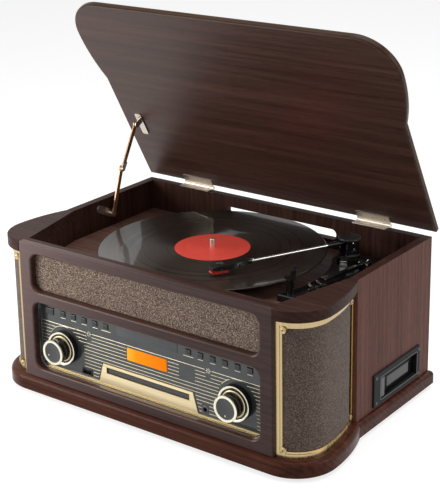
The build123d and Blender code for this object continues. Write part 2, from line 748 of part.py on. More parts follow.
# ======================================================================== tonearm
base_top = deck_top + 9
pedestal_top = base_top + 8
rest_x, rest_y = 143.5, 120
cradle_floor = 176.5
lip_x = rest_x + 3
clip_pin_x, clip_pin_height = lip_x + 1.5, 182.6
lever_x, lever_y, lever_heading, lever_axis_height = 176, 243, 257.9, 160
switch_places = [(164, 141), (168, 157)]
switch_headings = [150, 164]


def along(x, y, height, heading):
    """Upright plane through a point: X runs level along a heading, Y is up."""
    turn = radians(heading)
    return Plane(origin=(x, front + y, base + height), x_dir=(cos(turn), sin(turn), 0),
                 z_dir=(sin(turn), -cos(turn), 0))


arm_plane = along(pivot_x, pivot_y, arm_axis_height, arm_heading)
lever_plane = along(lever_x, lever_y, lever_axis_height, lever_heading)

# Tonearm base: black moulding that follows the record's edge, with the pedestal of the arm,
# the arm rest, the two ears of the cue lever and the holes of the two switches.
with BuildPart() as tonearm_base:
    with BuildSketch(plan(deck_top)) as base_sketch:
        with Locations((120, 108)):
            Rectangle(86, 177, align=(Align.MIN, Align.MIN))
        with Locations((platter_x, platter_y)):
            Circle(record_radius + 6, mode=Mode.SUBTRACT)
        fillet(base_sketch.vertices().group_by(Axis.X)[-1], radius=10)
    extrude(amount=base_top - deck_top)
    chamfer(tonearm_base.faces().sort_by(Axis.Z)[-1].edges(), length=1.2)
    with BuildSketch(plan(base_top)):
        with Locations((pivot_x, pivot_y)):
            Circle(17)
    extrude(amount=pedestal_top - base_top, taper=8)
    with BuildSketch(plan(pedestal_top)):
        with Locations((pivot_x, pivot_y)):
            Circle(4 + running_clearance)
    extrude(amount=deck_top - pedestal_top, mode=Mode.SUBTRACT)
    with BuildSketch(plan(base_top)):
        with Locations((rest_x, rest_y)):
            Circle(5)
    extrude(amount=cradle_floor - 4 - base_top)
    with BuildSketch(plan(cradle_floor - 4)):
        with Locations((rest_x + 0.2, rest_y)):
            Rectangle(11.8, 7)
    extrude(amount=4)
    with BuildSketch(plan(cradle_floor)):
        with Locations((lip_x, rest_y)):
            Rectangle(3, 7, align=(Align.MIN, Align.CENTER))
    extrude(amount=8)
    with BuildSketch(facing(rest_y + 3.5)):
        with Locations((clip_pin_x, clip_pin_height)):
            Circle(1)
    extrude(amount=-3.5)
    for ear_side in (-1, 1):
        with BuildSketch(lever_plane.offset(ear_side * 7)):
            with Locations((0, (base_top - lever_axis_height) / 2)):
                Rectangle(8, lever_axis_height - base_top)
            Circle(4)
            Circle(1.5 + running_clearance, mode=Mode.SUBTRACT)
        extrude(amount=1.25, both=True)
    with BuildSketch(plan(base_top)):
        with Locations(*switch_places):
            Circle(1.5 + running_clearance)
    extrude(amount=-6, mode=Mode.SUBTRACT)
save(tonearm_base, "tonearm_base")

# Arm clip: small catch on the pin of the arm rest, drawn raised.
clip_length = 5.2
with BuildPart() as arm_clip:
    with BuildSketch(facing(rest_y + 3.8)):
        with Locations((clip_pin_x, clip_pin_height)):
            SlotCenterPoint((0, clip_length / 2), (0, clip_length), 2.4)
            Circle(2)
            Circle(1 + running_clearance, mode=Mode.SUBTRACT)
    extrude(amount=-2.6)
save(arm_clip, "arm_clip")

# Tonearm pivot: shaft, turning plate, two cheeks that hold the arm's axle, and a round cap.
plate_bottom, cap_bottom = pedestal_top + 0.3, 186.1
with BuildPart() as tonearm_pivot:
    with BuildSketch(plan(deck_top + 0.3)):
        with Locations((pivot_x, pivot_y)):
            Circle(4)
    extrude(amount=plate_bottom - deck_top - 0.3)
    with BuildSketch(plan(plate_bottom)):
        with Locations((pivot_x, pivot_y)):
            Circle(14)
    extrude(amount=3)
    for cheek_side in (-1, 1):
        with BuildSketch(arm_plane.offset(cheek_side * 8.5)):
            with BuildLine():
                Polyline((-9, plate_bottom + 2 - arm_axis_height),
                         (-9, cap_bottom - arm_axis_height), (8, cap_bottom - arm_axis_height),
                         (10, plate_bottom + 2 - arm_axis_height), close=True)
            make_face()
            Circle(1.2 + running_clearance, mode=Mode.SUBTRACT)
        extrude(amount=1.5, both=True)
    with BuildSketch(plan(cap_bottom)):
        with Locations((pivot_x, pivot_y)):
            Circle(14.8)
    extrude(amount=2.4)
    fillet(tonearm_pivot.edges().group_by(Axis.Z)[-1], radius=1)
save(tonearm_pivot, "tonearm_pivot")

# Tonearm: headshell, tube, sleeve and hub with its axle, in the plane of the arm.
shell_start, shell_end = 140, arm_reach + 4
with BuildPart() as tonearm:
    with BuildSketch(arm_plane):
        with BuildLine():
            Polyline((shell_start, -1.2), (158, -0.3), (shell_end - 9, -1.2),
                     (shell_end, -3.4), (shell_end - 1, -6.2), (170, -7), (shell_start, -5.6),
                     close=True)
        make_face()
    extrude(amount=10, both=True)
    with BuildSketch(Plane(origin=arm_plane.origin, x_dir=arm_plane.x_dir)):
        with BuildLine():
            Polyline((shell_start, 0), (shell_start, 3.2), (150, 4))
            Spline((150, 4), (159, 6), (168, 8), tangents=((1, 0), (1, 0)))
            Line((168, 8), (shell_end - 8, 7))
            Spline((shell_end - 8, 7), (shell_end, 0), tangents=((1, -0.1), (0, -1)))
            mirror(about=Plane.XZ)
        make_face()
    extrude(amount=20, both=True, mode=Mode.INTERSECT)
    with BuildSketch(arm_plane):
        with Locations((181, -5)):
            Rectangle(20, 5)
    extrude(amount=5.5, both=True, mode=Mode.SUBTRACT)
    tube_run = arm_plane.from_local_coords(Vector(150, -3.5)) - arm_plane.origin
    with BuildSketch(Plane(origin=arm_plane.origin, z_dir=tube_run)):
        Circle(2)
    extrude(amount=shell_start + 3)
    with BuildSketch(Plane(origin=arm_plane.origin, z_dir=tube_run)):
        Circle(3.3)
    extrude(amount=32)
    with BuildSketch(arm_plane):
        Circle(3.6)
    extrude(amount=6.7, both=True)
    with BuildSketch(arm_plane):
        Circle(1.2)
    extrude(amount=10, both=True)
save(tonearm, "tonearm")

# Cartridge: body in the headshell, the stylus carrier below it and the stylus.
stylus_tip = record_top + 0.3 - arm_axis_height
with BuildPart() as cartridge:
    with BuildSketch(arm_plane):
        with Locations((181, -5.1)):
            Rectangle(19, 5)
    extrude(amount=5.1, both=True)
    with BuildSketch(arm_plane):
        with BuildLine():
            Polyline((173, -7.6), (195.5, -7.6), (197, -9.4), (196, -11.4), (184, -12),
                     (173, -11.6), close=True)
        make_face()
    extrude(amount=4, both=True)
    with BuildSketch(Plane(origin=arm_plane.from_local_coords(Vector(arm_reach, stylus_tip + 3.6)),
                           z_dir=(0, 0, -1))):
        Circle(0.8)
    extrude(amount=3.6, taper=8)
save(cartridge, "cartridge")

# Cue lever: hub with its two stub pins, a long bar and a finger tab.
tab_reach = 72.5
with BuildPart() as cue_lever:
    with BuildSketch(lever_plane):
        Circle(4)
        with BuildLine():
            Polyline((0, -2.4), (20, -2.4), (tab_reach - 14, -3), (tab_reach + 4, -1),
                     (tab_reach + 4, 1), (tab_reach - 12, 0), (20, 2.4), (0, 2.4), close=True)
        make_face()
    extrude(amount=2.6, both=True)
    with BuildSketch(lever_plane):
        Circle(4)
    extrude(amount=5.4, both=True)
    with BuildSketch(lever_plane):
        Circle(1.5)
    extrude(amount=8.2, both=True)
    with BuildSketch(Plane(origin=lever_plane.from_local_coords(Vector(tab_reach - 3, 0)),
                           x_dir=lever_plane.x_dir)):
        RectangleRounded(14, 11, 3)
    extrude(amount=1, both=True)
save(cue_lever, "cue_lever")

# Speed switch and auto-stop switch: small levers that turn on a pin.
for switch_name, place, heading in zip(("speed_switch", "autostop_switch"), switch_places,
                                       switch_headings):
    lever = along(*place, base_top + 0.3, heading)
    with BuildPart() as switch:
        with BuildSketch(plan(base_top + 0.3)):
            with Locations(place):
                Circle(4.2)
        extrude(amount=4)
        with BuildSketch(lever):
            with BuildLine():
                Polyline((0, 1), (9, 1), (12.6, 3.5), (13.6, 6), (11.8, 6), (8, 3.4), (0, 3.4),
                         close=True)
            make_face()
        extrude(amount=1.7, both=True)
        with BuildSketch(plan(base_top + 0.3)):
            with Locations(place):
                Circle(1.5)
        extrude(amount=-6)
    save(switch, switch_name)

# ======================================================================== lid
lid_rise = hinge_leaf + hinge_gap
pin_height = cabinet_height + lid_rise
lid_turn = radians(lid_open)
lid_hinge = Plane(origin=(0, front + pin_y, base + pin_height), x_dir=(1, 0, 0),
                  z_dir=(0, sin(lid_turn), cos(lid_turn)))


def on_lid(height):
    """Plane parallel to the lid, at a height over the hinge pin: Y as on the closed lid."""
    return Plane(origin=lid_hinge.from_local_coords(Vector(0, -pin_y, height)),
                 x_dir=lid_hinge.x_dir, z_dir=lid_hinge.z_dir)


# Lid: one board with the outline of the crown and rounded edges, drawn open.
with BuildPart() as lid:
    with BuildSketch(on_lid(lid_rise)):
        add(crown_outline(lid_reach, cabinet_depth))
    extrude(amount=lid_thickness)
    lid_faces = lid.faces().sort_by(Axis(lid_hinge.origin, lid_hinge.z_dir))
    fillet(lid_faces[0].edges(), radius=2.5)
    lid_faces = lid.faces().sort_by(Axis(lid_hinge.origin, lid_hinge.z_dir))
    fillet(lid_faces[-1].edges(), radius=3.5)
save(lid, "lid")

# Hinges: five knuckles each. The cabinet's leaves carry three of them and the pins, and the
# lid's leaves carry the other two.
barrel_radius, pin_radius, knuckle_gap = 2.8, 1.2, 0.3
knuckle_length = (hinge_length - 4 * knuckle_gap) / 5
knuckle_pitch = knuckle_length + knuckle_gap
hinge_end = Plane(origin=(0, front + pin_y, base + pin_height), x_dir=(0, 1, 0), z_dir=(1, 0, 0))
with BuildPart() as cabinet_hinge_leaves:
    for side in (-1, 1):
        start = side * hinge_x - hinge_length / 2
        with BuildSketch(plan(cabinet_height)):
            with Locations((side * hinge_x, rear_inner)):
                Rectangle(hinge_length, board, align=(Align.CENTER, Align.MIN))
        extrude(amount=hinge_leaf)
        for knuckle in (0, 2, 4):
            with BuildSketch(plan(cabinet_height)):
                with Locations((start + knuckle * knuckle_pitch, cabinet_depth)):
                    Rectangle(knuckle_length, pin_y - cabinet_depth, align=(Align.MIN, Align.MIN))
            extrude(amount=hinge_leaf)
            with BuildSketch(hinge_end.offset(start + knuckle * knuckle_pitch)):
                Circle(barrel_radius)
            extrude(amount=knuckle_length)
        with BuildSketch(hinge_end.offset(start)):
            Circle(pin_radius)
        extrude(amount=hinge_length)
save(cabinet_hinge_leaves, "cabinet_hinge_leaves")

with BuildPart() as lid_hinge_leaves:
    for side in (-1, 1):
        start = side * hinge_x - hinge_length / 2
        with BuildSketch(on_lid(hinge_gap)):
            with Locations((side * hinge_x, rear_inner)):
                Rectangle(hinge_length, board, align=(Align.CENTER, Align.MIN))
        extrude(amount=hinge_leaf)
        for knuckle in (1, 3):
            with BuildSketch(on_lid(hinge_gap)):
                with Locations((start + knuckle * knuckle_pitch, cabinet_depth)):
                    Rectangle(knuckle_length, pin_y - cabinet_depth, align=(Align.MIN, Align.MIN))
            extrude(amount=hinge_leaf)
            with BuildSketch(hinge_end.offset(start + knuckle * knuckle_pitch)):
                Circle(barrel_radius)
            extrude(amount=knuckle_length)
    for side in (-1, 1):
        with BuildSketch(hinge_end.offset(side * hinge_x - hinge_length / 2)):
            Circle(pin_radius + running_clearance)
        extrude(amount=hinge_length, mode=Mode.SUBTRACT)
save(lid_hinge_leaves, "lid_hinge_leaves")

# ======================================================================== lid stay
# Folding stay on the left: the lower link turns on a bracket on the cabinet's wall and the
# upper link on a bracket under the lid. Their free ends meet at the knuckle.
wall_pivot = (205, 164.4)
knuckle_point = (225.42, 226.69)
lid_pivot_reach, lid_pivot_drop = 113, 8
link_width, link_thickness, link_end, rivet_radius = 6.5, 2, 4.5, 1.5
lower_link_x, upper_link_x = -215.2, -212.9
lid_pivot_point = lid_hinge.from_local_coords(
    Vector(0, -lid_pivot_reach, lid_rise - lid_pivot_drop))
lid_pivot = (lid_pivot_point.Y - front, lid_pivot_point.Z - base)


def stay_plane(x):
    """Upright plane that faces right at a distance from the middle: X to the back, Y up."""
    return Plane(origin=(x, front, base), x_dir=(0, 1, 0), z_dir=(1, 0, 0))


def stay_link(x, fixed_end, free_end, rivet_side):
    """A flat link: a pivot hole at its fixed end, half of the knuckle's rivet at the other."""
    with BuildPart() as link:
        with BuildSketch(stay_plane(x)):
            with BuildLine():
                Line(fixed_end, free_end)
            trace(line_width=link_width)
            with Locations(fixed_end, free_end):
                Circle(link_end)
            with Locations(fixed_end):
                Circle(rivet_radius + running_clearance, mode=Mode.SUBTRACT)
        extrude(amount=link_thickness / 2, both=True)
        with BuildSketch(stay_plane(x + rivet_side * link_thickness / 2)):
            with Locations(free_end):
                Circle(3.2)
        extrude(amount=rivet_side * 1.2)
    return link


save(stay_link(lower_link_x, wall_pivot, knuckle_point, -1), "stay_lower_link")
save(stay_link(upper_link_x, lid_pivot, knuckle_point, 1), "stay_upper_link")

# Wall bracket: a plate on the cabinet's inner wall, with the boss and rivet of the lower link.
bracket_thickness, boss_radius, boss_gap = 1.6, 3.2, 0.3
lower_link_left = lower_link_x - link_thickness / 2
with BuildPart() as stay_wall_bracket:
    with BuildSketch(stay_plane(-side_inner)):
        with Locations((193.5, 170.2)):
            SlotCenterToCenter(25.8, 11, rotation=-26.8)
    extrude(amount=bracket_thickness)
    with BuildSketch(stay_plane(-side_inner)):
        with Locations(wall_pivot):
            Circle(boss_radius)
    extrude(amount=side_inner + lower_link_left - boss_gap)
    with BuildSketch(stay_plane(-side_inner)):
        with Locations(wall_pivot):
            Circle(rivet_radius)
    extrude(amount=side_inner + lower_link_x + link_thickness / 2)
save(stay_wall_bracket, "stay_wall_bracket")

# Lid bracket: a plate under the lid with an ear that carries the upper link on a rivet.
ear_x = -209.5
upper_link_right = upper_link_x + link_thickness / 2
lid_side = Plane(origin=lid_hinge.origin, x_dir=lid_hinge.y_dir, z_dir=(1, 0, 0))
with BuildPart() as stay_lid_bracket:
    with BuildSketch(on_lid(lid_rise)):
        with Locations((ear_x + 1, pin_y - lid_pivot_reach + 5)):
            RectangleRounded(11, 38, 3)
    extrude(amount=-bracket_thickness)
    with BuildSketch(lid_side.offset(ear_x)):
        with Locations((-lid_pivot_reach, lid_rise - lid_pivot_drop)):
            Circle(link_end)
            Rectangle(2 * link_end, lid_pivot_drop, align=(Align.CENTER, Align.MIN))
    extrude(amount=bracket_thickness / 2, both=True)
    with BuildSketch(lid_side.offset(ear_x)):
        with Locations((-lid_pivot_reach, lid_rise - lid_pivot_drop)):
            Circle(boss_radius)
    extrude(amount=upper_link_right + boss_gap - ear_x)
    with BuildSketch(lid_side.offset(ear_x)):
        with Locations((-lid_pivot_reach, lid_rise - lid_pivot_drop)):
            Circle(rivet_radius)
    extrude(amount=upper_link_x - link_thickness / 2 - ear_x)
save(stay_lid_bracket, "stay_lid_bracket")
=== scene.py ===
import json
from math import atan2, cos, hypot, pi, radians, sin, sqrt

import bmesh
import bpy
from mathutils import Matrix, Vector


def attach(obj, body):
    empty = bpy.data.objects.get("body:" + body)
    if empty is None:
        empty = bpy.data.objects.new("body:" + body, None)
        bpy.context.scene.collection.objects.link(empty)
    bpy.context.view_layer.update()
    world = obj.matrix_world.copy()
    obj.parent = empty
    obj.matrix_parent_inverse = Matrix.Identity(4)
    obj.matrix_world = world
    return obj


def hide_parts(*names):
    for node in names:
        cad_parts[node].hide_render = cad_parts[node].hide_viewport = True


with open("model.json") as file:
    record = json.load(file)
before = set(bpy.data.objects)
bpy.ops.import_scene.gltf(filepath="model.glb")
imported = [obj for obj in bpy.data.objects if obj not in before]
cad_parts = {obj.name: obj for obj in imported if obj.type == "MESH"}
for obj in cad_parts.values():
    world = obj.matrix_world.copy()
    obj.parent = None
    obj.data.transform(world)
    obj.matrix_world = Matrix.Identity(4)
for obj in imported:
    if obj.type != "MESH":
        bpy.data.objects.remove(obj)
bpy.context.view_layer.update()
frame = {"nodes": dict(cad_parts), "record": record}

# ================================================================ the room
# A white sweep under soft daylight from the front left. The floor and the air behind it are
# white to the eye and to polished metal, and only the lamps and a grey sky light the object.
scene = bpy.context.scene
scene.view_settings.view_transform = "Standard"


def feed(tree, node, inputs):
    """Gives a node its inputs: a socket is linked to it, and a plain value is set."""
    for name, value in inputs.items():
        if isinstance(value, bpy.types.NodeSocket):
            tree.links.new(value, node.inputs[name])
        else:
            node.inputs[name].default_value = value


def add_node(tree, kind, settings=None, inputs=None):
    """Adds a node to a material's or a geometry tree, with its settings and its inputs."""
    node = tree.nodes.new(kind)
    for name, value in (settings or {}).items():
        setattr(node, name, value)
    feed(tree, node, inputs or {})
    return node


def calc(tree, operation, *values):
    """One sum on numbers or sockets; the result is a socket."""
    return add_node(tree, "ShaderNodeMath", {"operation": operation},
                    dict(enumerate(values))).outputs[0]


def seen_as_white(tree):
    """1 for the rays that show the background: the eye's, a mirror's and a window's."""
    path = add_node(tree, "ShaderNodeLightPath")
    seen = calc(tree, "MAXIMUM", path.outputs["Is Camera Ray"], path.outputs["Is Glossy Ray"])
    return calc(tree, "MAXIMUM", seen, path.outputs["Is Transmission Ray"])


sky_light = 0.26
world = bpy.data.worlds.new("daylight")
world.use_nodes = True
scene.world = world
sky = world.node_tree.nodes["Background"]
sky.inputs["Color"].default_value = (1, 1, 1, 1)
strength = add_node(world.node_tree, "ShaderNodeMapRange",
                    inputs={"Value": seen_as_white(world.node_tree), 3: sky_light, 4: 1.0})
world.node_tree.links.new(strength.outputs[0], sky.inputs["Strength"])

floor_white = bpy.data.materials.new("floor_white")
floor_white.use_nodes = True
floor_tree = floor_white.node_tree
floor_tree.nodes.remove(floor_tree.nodes["Principled BSDF"])
matt = add_node(floor_tree, "ShaderNodeBsdfDiffuse", inputs={"Color": (0.42, 0.42, 0.42, 1)})
glow = add_node(floor_tree, "ShaderNodeEmission",
                inputs={"Strength": calc(floor_tree, "MULTIPLY", seen_as_white(floor_tree), 0.76)})
both = add_node(floor_tree, "ShaderNodeAddShader", inputs={0: matt.outputs[0], 1: glow.outputs[0]})
floor_tree.links.new(both.outputs[0], floor_tree.nodes["Material Output"].inputs["Surface"])

floor_mesh = bpy.data.meshes.new("floor")
floor_reach = 9
floor_mesh.from_pydata([(x * floor_reach, y * floor_reach, 0)
                        for x, y in ((-1, -1), (1, -1), (1, 1), (-1, 1))], [], [(0, 1, 2, 3)])
floor_mesh.materials.append(floor_white)
floor = bpy.data.objects.new("floor", floor_mesh)
scene.collection.objects.link(floor)

lamps = {  # where it stands, where it points, its width and height, and its power
    "window_left": ((-0.80, -0.80, 0.36), (-0.2, -0.1, 0.1), (0.6, 0.6), 9.0),
    "overhead": ((0.1, 0.15, 2.4), (0, 0, 0.1), (2.0, 2.0), 36),
    "reflector_right": ((1.9, 0.5, 0.85), (0.1, 0, 0.15), (1.2, 1.2), 12),
}
for name, (place, target, (width, height), power) in lamps.items():
    lamp = bpy.data.lights.new(name, "AREA")
    lamp.shape, lamp.size, lamp.size_y, lamp.energy = "RECTANGLE", width, height, power
    stand = bpy.data.objects.new(name, lamp)
    stand.location = place
    stand.rotation_euler = (Vector(target) - Vector(place)).to_track_quat("-Z", "Y").to_euler()
    scene.collection.objects.link(stand)

camera = bpy.data.objects.new("camera", bpy.data.cameras.new("camera"))
camera.location = (1.0101, -1.3270, 0.8120)
camera.rotation_euler = (radians(72.939), radians(0.921), radians(36.682))
camera.data.lens = 99.82
camera.data.sensor_width = 36
camera.data.shift_y = -0.15
scene.collection.objects.link(camera)
scene.camera = camera

# ================================================================ plinth and feet
# The plinth is one thick moulded board in reddish lacquer, rounded along its top edge, and
# stands on four black rubber feet that are screwed to its underside.
front, base = -0.157, 0.025      # the fascia's front, and the top of the plinth


def at(x, y, z):
    """A place in millimetres, measured behind the fascia's front and above the plinth."""
    return Vector((x / 1000, y / 1000 + front, z / 1000 + base))


body_of_node = {node: body for body, nodes in frame["record"]["behaviour"]["bodies"].items()
                for node in nodes}


def solid_finish(name, colour, roughness, metallic=0.0):
    """A new material with its shader set; returns the material, its tree and the shader."""
    finish = bpy.data.materials.new(name)
    finish.use_nodes = True
    shader = finish.node_tree.nodes["Principled BSDF"]
    feed(finish.node_tree, shader, {
        "Base Color": (*colour, 1), "Roughness": roughness, "Metallic": metallic})
    return finish, finish.node_tree, shader


def pattern_place(tree, scale, turn=(0, 0, 0), shift=(0, 0, 0)):
    """Object coordinates, turned and then stretched for a pattern."""
    coordinates = add_node(tree, "ShaderNodeTexCoord").outputs["Object"]
    turned = add_node(tree, "ShaderNodeMapping", inputs={
        "Vector": coordinates, "Rotation": turn, "Location": shift})
    return add_node(tree, "ShaderNodeMapping", inputs={
        "Vector": turned.outputs[0], "Scale": scale}).outputs[0]


def noise(tree, place, detail=2.0, rough=0.5, scale=1.0, distortion=0.0):
    """Grey noise at a place, 0 to 1."""
    return add_node(tree, "ShaderNodeTexNoise", inputs={
        "Vector": place, "Scale": scale, "Detail": detail, "Roughness": rough,
        "Distortion": distortion}).outputs["Fac"]


def ramp(tree, value, stops):
    """Colours along a value from 0 to 1; stops are (place, colour)."""
    node = add_node(tree, "ShaderNodeValToRGB", inputs={"Fac": value})
    elements = node.color_ramp.elements
    while len(elements) < len(stops):
        elements.new(0.5)
    for element, (place, colour) in zip(elements, stops):
        element.position = place
        element.color = (*colour, 1)
    return node.outputs[0]


def relief(tree, shader, height, strength, depth):
    """Raises the surface by a pattern."""
    bump = add_node(tree, "ShaderNodeBump", inputs={
        "Height": height, "Strength": strength, "Distance": depth})
    tree.links.new(bump.outputs[0], shader.inputs["Normal"])


def multiplied(tree, share, colour, shade):
    """One colour darkened by another; the share says how much of it shows."""
    return add_node(tree, "ShaderNodeMix", {"data_type": "RGBA", "blend_type": "MULTIPLY"}, {
        "Factor": share, 6: colour, 7: shade}).outputs[2]


def tinted(tree, shader, pattern, dark, light):
    """Lets a pattern shade the surface between two colours."""
    tree.links.new(ramp(tree, pattern, ((0.3, dark), (0.7, light))), shader.inputs["Base Color"])


def glossed(tree, shader, pattern, smooth, rough):
    """Lets a pattern vary the gloss between two roughnesses."""
    gloss = add_node(tree, "ShaderNodeMapRange", inputs={
        "Value": pattern, 1: 0.3, 2: 0.7, 3: smooth, 4: rough})
    tree.links.new(gloss.outputs[0], shader.inputs["Roughness"])


def veneer(name, dark, middle, light, turn=(0, 0, 0), shift=(0, 0, 0), sheen=0.36, haze=0.12):
    """Lacquered wood with its grain along X: bands of growth, fibre streaks and short pores."""
    finish, tree, shader = solid_finish(name, middle, sheen)
    figure = noise(tree, pattern_place(tree, (2.0, 48, 48), turn, shift), 4, 0.6, 1, 0.5)
    growth = add_node(tree, "ShaderNodeTexWave", {
        "wave_type": "BANDS", "bands_direction": "DIAGONAL", "wave_profile": "SIN"}, {
        "Vector": pattern_place(tree, (0.9, 62, 62), turn, shift), "Scale": 1.0, "Distortion": 7.0,
        "Detail": 2.0, "Detail Scale": 0.5, "Detail Roughness": 0.6}).outputs["Fac"]
    fibre = noise(tree, pattern_place(tree, (6, 210, 210), turn, shift), 6, 0.62)
    pores = noise(tree, pattern_place(tree, (60, 1900, 1900), turn, shift), 2, 0.5)
    tone = calc(tree, "MULTIPLY_ADD", figure, 0.40, calc(tree, "MULTIPLY_ADD", fibre, 0.52,
                calc(tree, "MULTIPLY", growth, 0.08)))
    colour = ramp(tree, tone, ((0.36, dark), (0.5, middle), (0.66, light)))
    deep = ramp(tree, pores, ((0.36, (0.5, 0.45, 0.45)), (0.47, (1, 1, 1))))
    tree.links.new(multiplied(tree, 0.75, colour, deep), shader.inputs["Base Color"])
    glossed(tree, shader, fibre, sheen - 0.05, sheen + 0.07)
    relief(tree, shader, calc(tree, "ADD", fibre, pores), 0.12, 0.0002)
    shader.inputs["Specular IOR Level"].default_value = haze
    return finish


def shaped(name, mesh, finish):
    """An object from a finished mesh."""
    piece = bpy.data.objects.new(name, mesh)
    if finish:
        mesh.materials.clear()
        mesh.materials.append(finish)
    scene.collection.objects.link(piece)
    return piece


def soften(mesh, angle=32):
    """Rounds the shading, except across edges sharper than an angle."""
    mesh.shade_smooth()
    mesh.set_sharp_from_angle(angle=radians(angle))


def baked(piece):
    """Turns a piece and its modifiers into one plain mesh."""
    graph = bpy.context.evaluated_depsgraph_get()
    mesh = bpy.data.meshes.new_from_object(piece.evaluated_get(graph))
    piece.modifiers.clear()
    piece.data = mesh


def fasten(piece, body):
    """Fixes a piece to the body it moves with."""
    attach(piece, body)
    return piece


def made_from(node, finish, edge=0.0):
    """A solid of the frame with its loose faces joined and its corners eased by a sander."""
    mesh = frame["nodes"][node].data.copy()
    mesh.name = node + "_made"
    work = bmesh.new()
    work.from_mesh(mesh)
    bmesh.ops.remove_doubles(work, verts=work.verts, dist=1e-6)
    bmesh.ops.dissolve_limit(work, angle_limit=radians(0.6), verts=work.verts, edges=work.edges)
    work.to_mesh(mesh)
    work.free()
    mesh.update()
    piece = shaped(node + "_made", mesh, finish)
    if edge:
        bevel = piece.modifiers.new("eased", "BEVEL")
        bevel.width, bevel.segments, bevel.limit_method = edge, 2, "ANGLE"
        bevel.angle_limit = radians(40)
        bevel.miter_outer = "MITER_ARC"
        baked(piece)
    work = bmesh.new()
    work.from_mesh(piece.data)
    bmesh.ops.dissolve_degenerate(work, dist=2e-6, edges=work.edges)
    bmesh.ops.triangulate(work, faces=[face for face in work.faces if len(face.verts) > 4],
                          ngon_method="EAR_CLIP")
    work.to_mesh(piece.data)
    work.free()
    soften(piece.data)
    even = piece.modifiers.new("even", "WEIGHTED_NORMAL")
    even.weight, even.keep_sharp = 90, True
    baked(piece)
    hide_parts(node)
    return fasten(piece, body_of_node[node])


plinth_wood = veneer("plinth_wood", (0.045, 0.013, 0.008), (0.082, 0.025, 0.014),
                     (0.125, 0.043, 0.026), sheen=0.2, haze=0.07)
made_from("plinth", plinth_wood)

foot_rubber, tree, shader = solid_finish("foot_rubber", (0.02, 0.02, 0.02), 0.75)
relief(tree, shader, noise(tree, pattern_place(tree, (900, 900, 900)), 3), 0.3, 0.0002)
made_from("feet", foot_rubber, 0.0004)

# ================================================================ fascia and crown
# The fascia is the front board with its two windows, veneered and lacquered satin; the windows'
# rounded reveals are sprayed. The crown is one moulding round it: the front rail, the ears over
# the speakers and the well's apron.
def paint(piece, finish, chosen):
    """Gives a finish to the faces chosen by their middle and the way they face."""
    piece.data.materials.append(finish)
    for face in piece.data.polygons:
        if chosen(face.center, face.normal):
            face.material_index = len(piece.data.materials) - 1


def soft_colour_patch(finish, colour, middle, spread, strength):
    """Blends a lacquered veneer softly into another colour round one place; on the fascia, a
    painted sheen.
    """
    tree = finish.node_tree
    base_colour = tree.nodes["Principled BSDF"].inputs["Base Color"]
    scales = [1 / reach for reach in spread]
    patch = add_node(tree, "ShaderNodeTexGradient", {"gradient_type": "QUADRATIC_SPHERE"}, {
        "Vector": pattern_place(tree, scales, shift=[-m * s for m, s in zip(middle, scales)])})
    blend = add_node(tree, "ShaderNodeMix", {"data_type": "RGBA", "blend_type": "MIX"}, {
        "Factor": calc(tree, "MULTIPLY", patch.outputs["Fac"], strength),
        6: base_colour.links[0].from_socket, 7: colour + (1,)})
    tree.links.new(blend.outputs[2], base_colour)


fascia_wood = veneer("fascia_wood", (0.031, 0.0145, 0.012), (0.048, 0.023, 0.0195),
                     (0.068, 0.035, 0.031), shift=(0.4, 0.1, 0.2), sheen=0.4, haze=0.2)
# The pale greyish patch towards the fascia's left end is a painted sheen: lamp light reflected
# there, painted into the colour.
soft_colour_patch(fascia_wood, (0.390, 0.265, 0.255), (-0.27, -0.157, 0.15), (0.60, 0.60, 0.60), 0.95)
reveal_lacquer = veneer("reveal_lacquer", (0.045, 0.018, 0.013), (0.085, 0.036, 0.026),
                        (0.120, 0.055, 0.040), sheen=0.3, haze=0.25)
fascia = made_from("fascia", fascia_wood, 0.001)
paint(fascia, reveal_lacquer, lambda middle, facing:
      abs(facing.y) < 0.96 and abs(middle.x) < 0.1815 and 0.036 < middle.z < 0.2015)
crown_wood = veneer("crown_wood", (0.034, 0.016, 0.012), (0.052, 0.025, 0.020),
                    (0.074, 0.038, 0.030), shift=(0.1, 0.7, 0.2), sheen=0.4, haze=0.06)
made_from("crown", crown_wood, 0.0015)

# ================================================================ cabinet walls
# Side panels, rear panel and baffles: chipboard with a printed veneer, its grain upright, and
# the deck that carries the turntable, in a plainer and darker one.
upright = (0, radians(90), 0)
side_wood = veneer("side_wood", (0.100, 0.038, 0.028), (0.150, 0.062, 0.046),
                   (0.200, 0.092, 0.070), upright, (0, 0.3, 0), 0.34, 0.06)
wall_wood = veneer("wall_wood", (0.036, 0.015, 0.012), (0.056, 0.025, 0.019),
                   (0.080, 0.037, 0.028), upright, (0, 0.5, 0.2), 0.4, 0.04)
deck_wood = veneer("deck_wood", (0.110, 0.058, 0.043), (0.175, 0.094, 0.070),
                   (0.240, 0.135, 0.102), shift=(0.2, 0.2, 0.9), sheen=0.4)
for name in ("left_side_panel", "right_side_panel"):
    paint(made_from(name, side_wood, 0.0005), wall_wood,
          lambda middle, facing: facing.z > 0.5 or abs(middle.x) < 0.2275)
made_from("rear_panel", wall_wood, 0.0005)
made_from("speaker_baffles", wall_wood, 0.0003)
# The right side panel's outer face is painted redder and lighter round its middle.
soft_colour_patch(side_wood, (0.235, 0.070, 0.050), (0.234, -0.02, 0.12), (0.13, 0.13, 0.13), 0.6)
made_from("deck", deck_wood, 0.0003)

# ================================================================ speaker columns
# Each column is a bowed board covered in brown woven cloth, held by a curved gold frame with a
# crosshead screw in each corner. A cone speaker stands behind it.
def brass(name, colour, roughness, brushed=(400, 400, 9)):
    """Thin gold or nickel plating, brushed along the short side of its scale."""
    finish, tree, shader = solid_finish(name, colour, roughness, 1.0)
    strokes = noise(tree, pattern_place(tree, brushed), 4, 0.6)
    tinted(tree, shader, strokes, [0.8 * c for c in colour], colour)
    glossed(tree, shader, strokes, roughness - 0.07, roughness + 0.09)
    relief(tree, shader, strokes, 0.08, 0.0002)
    return finish


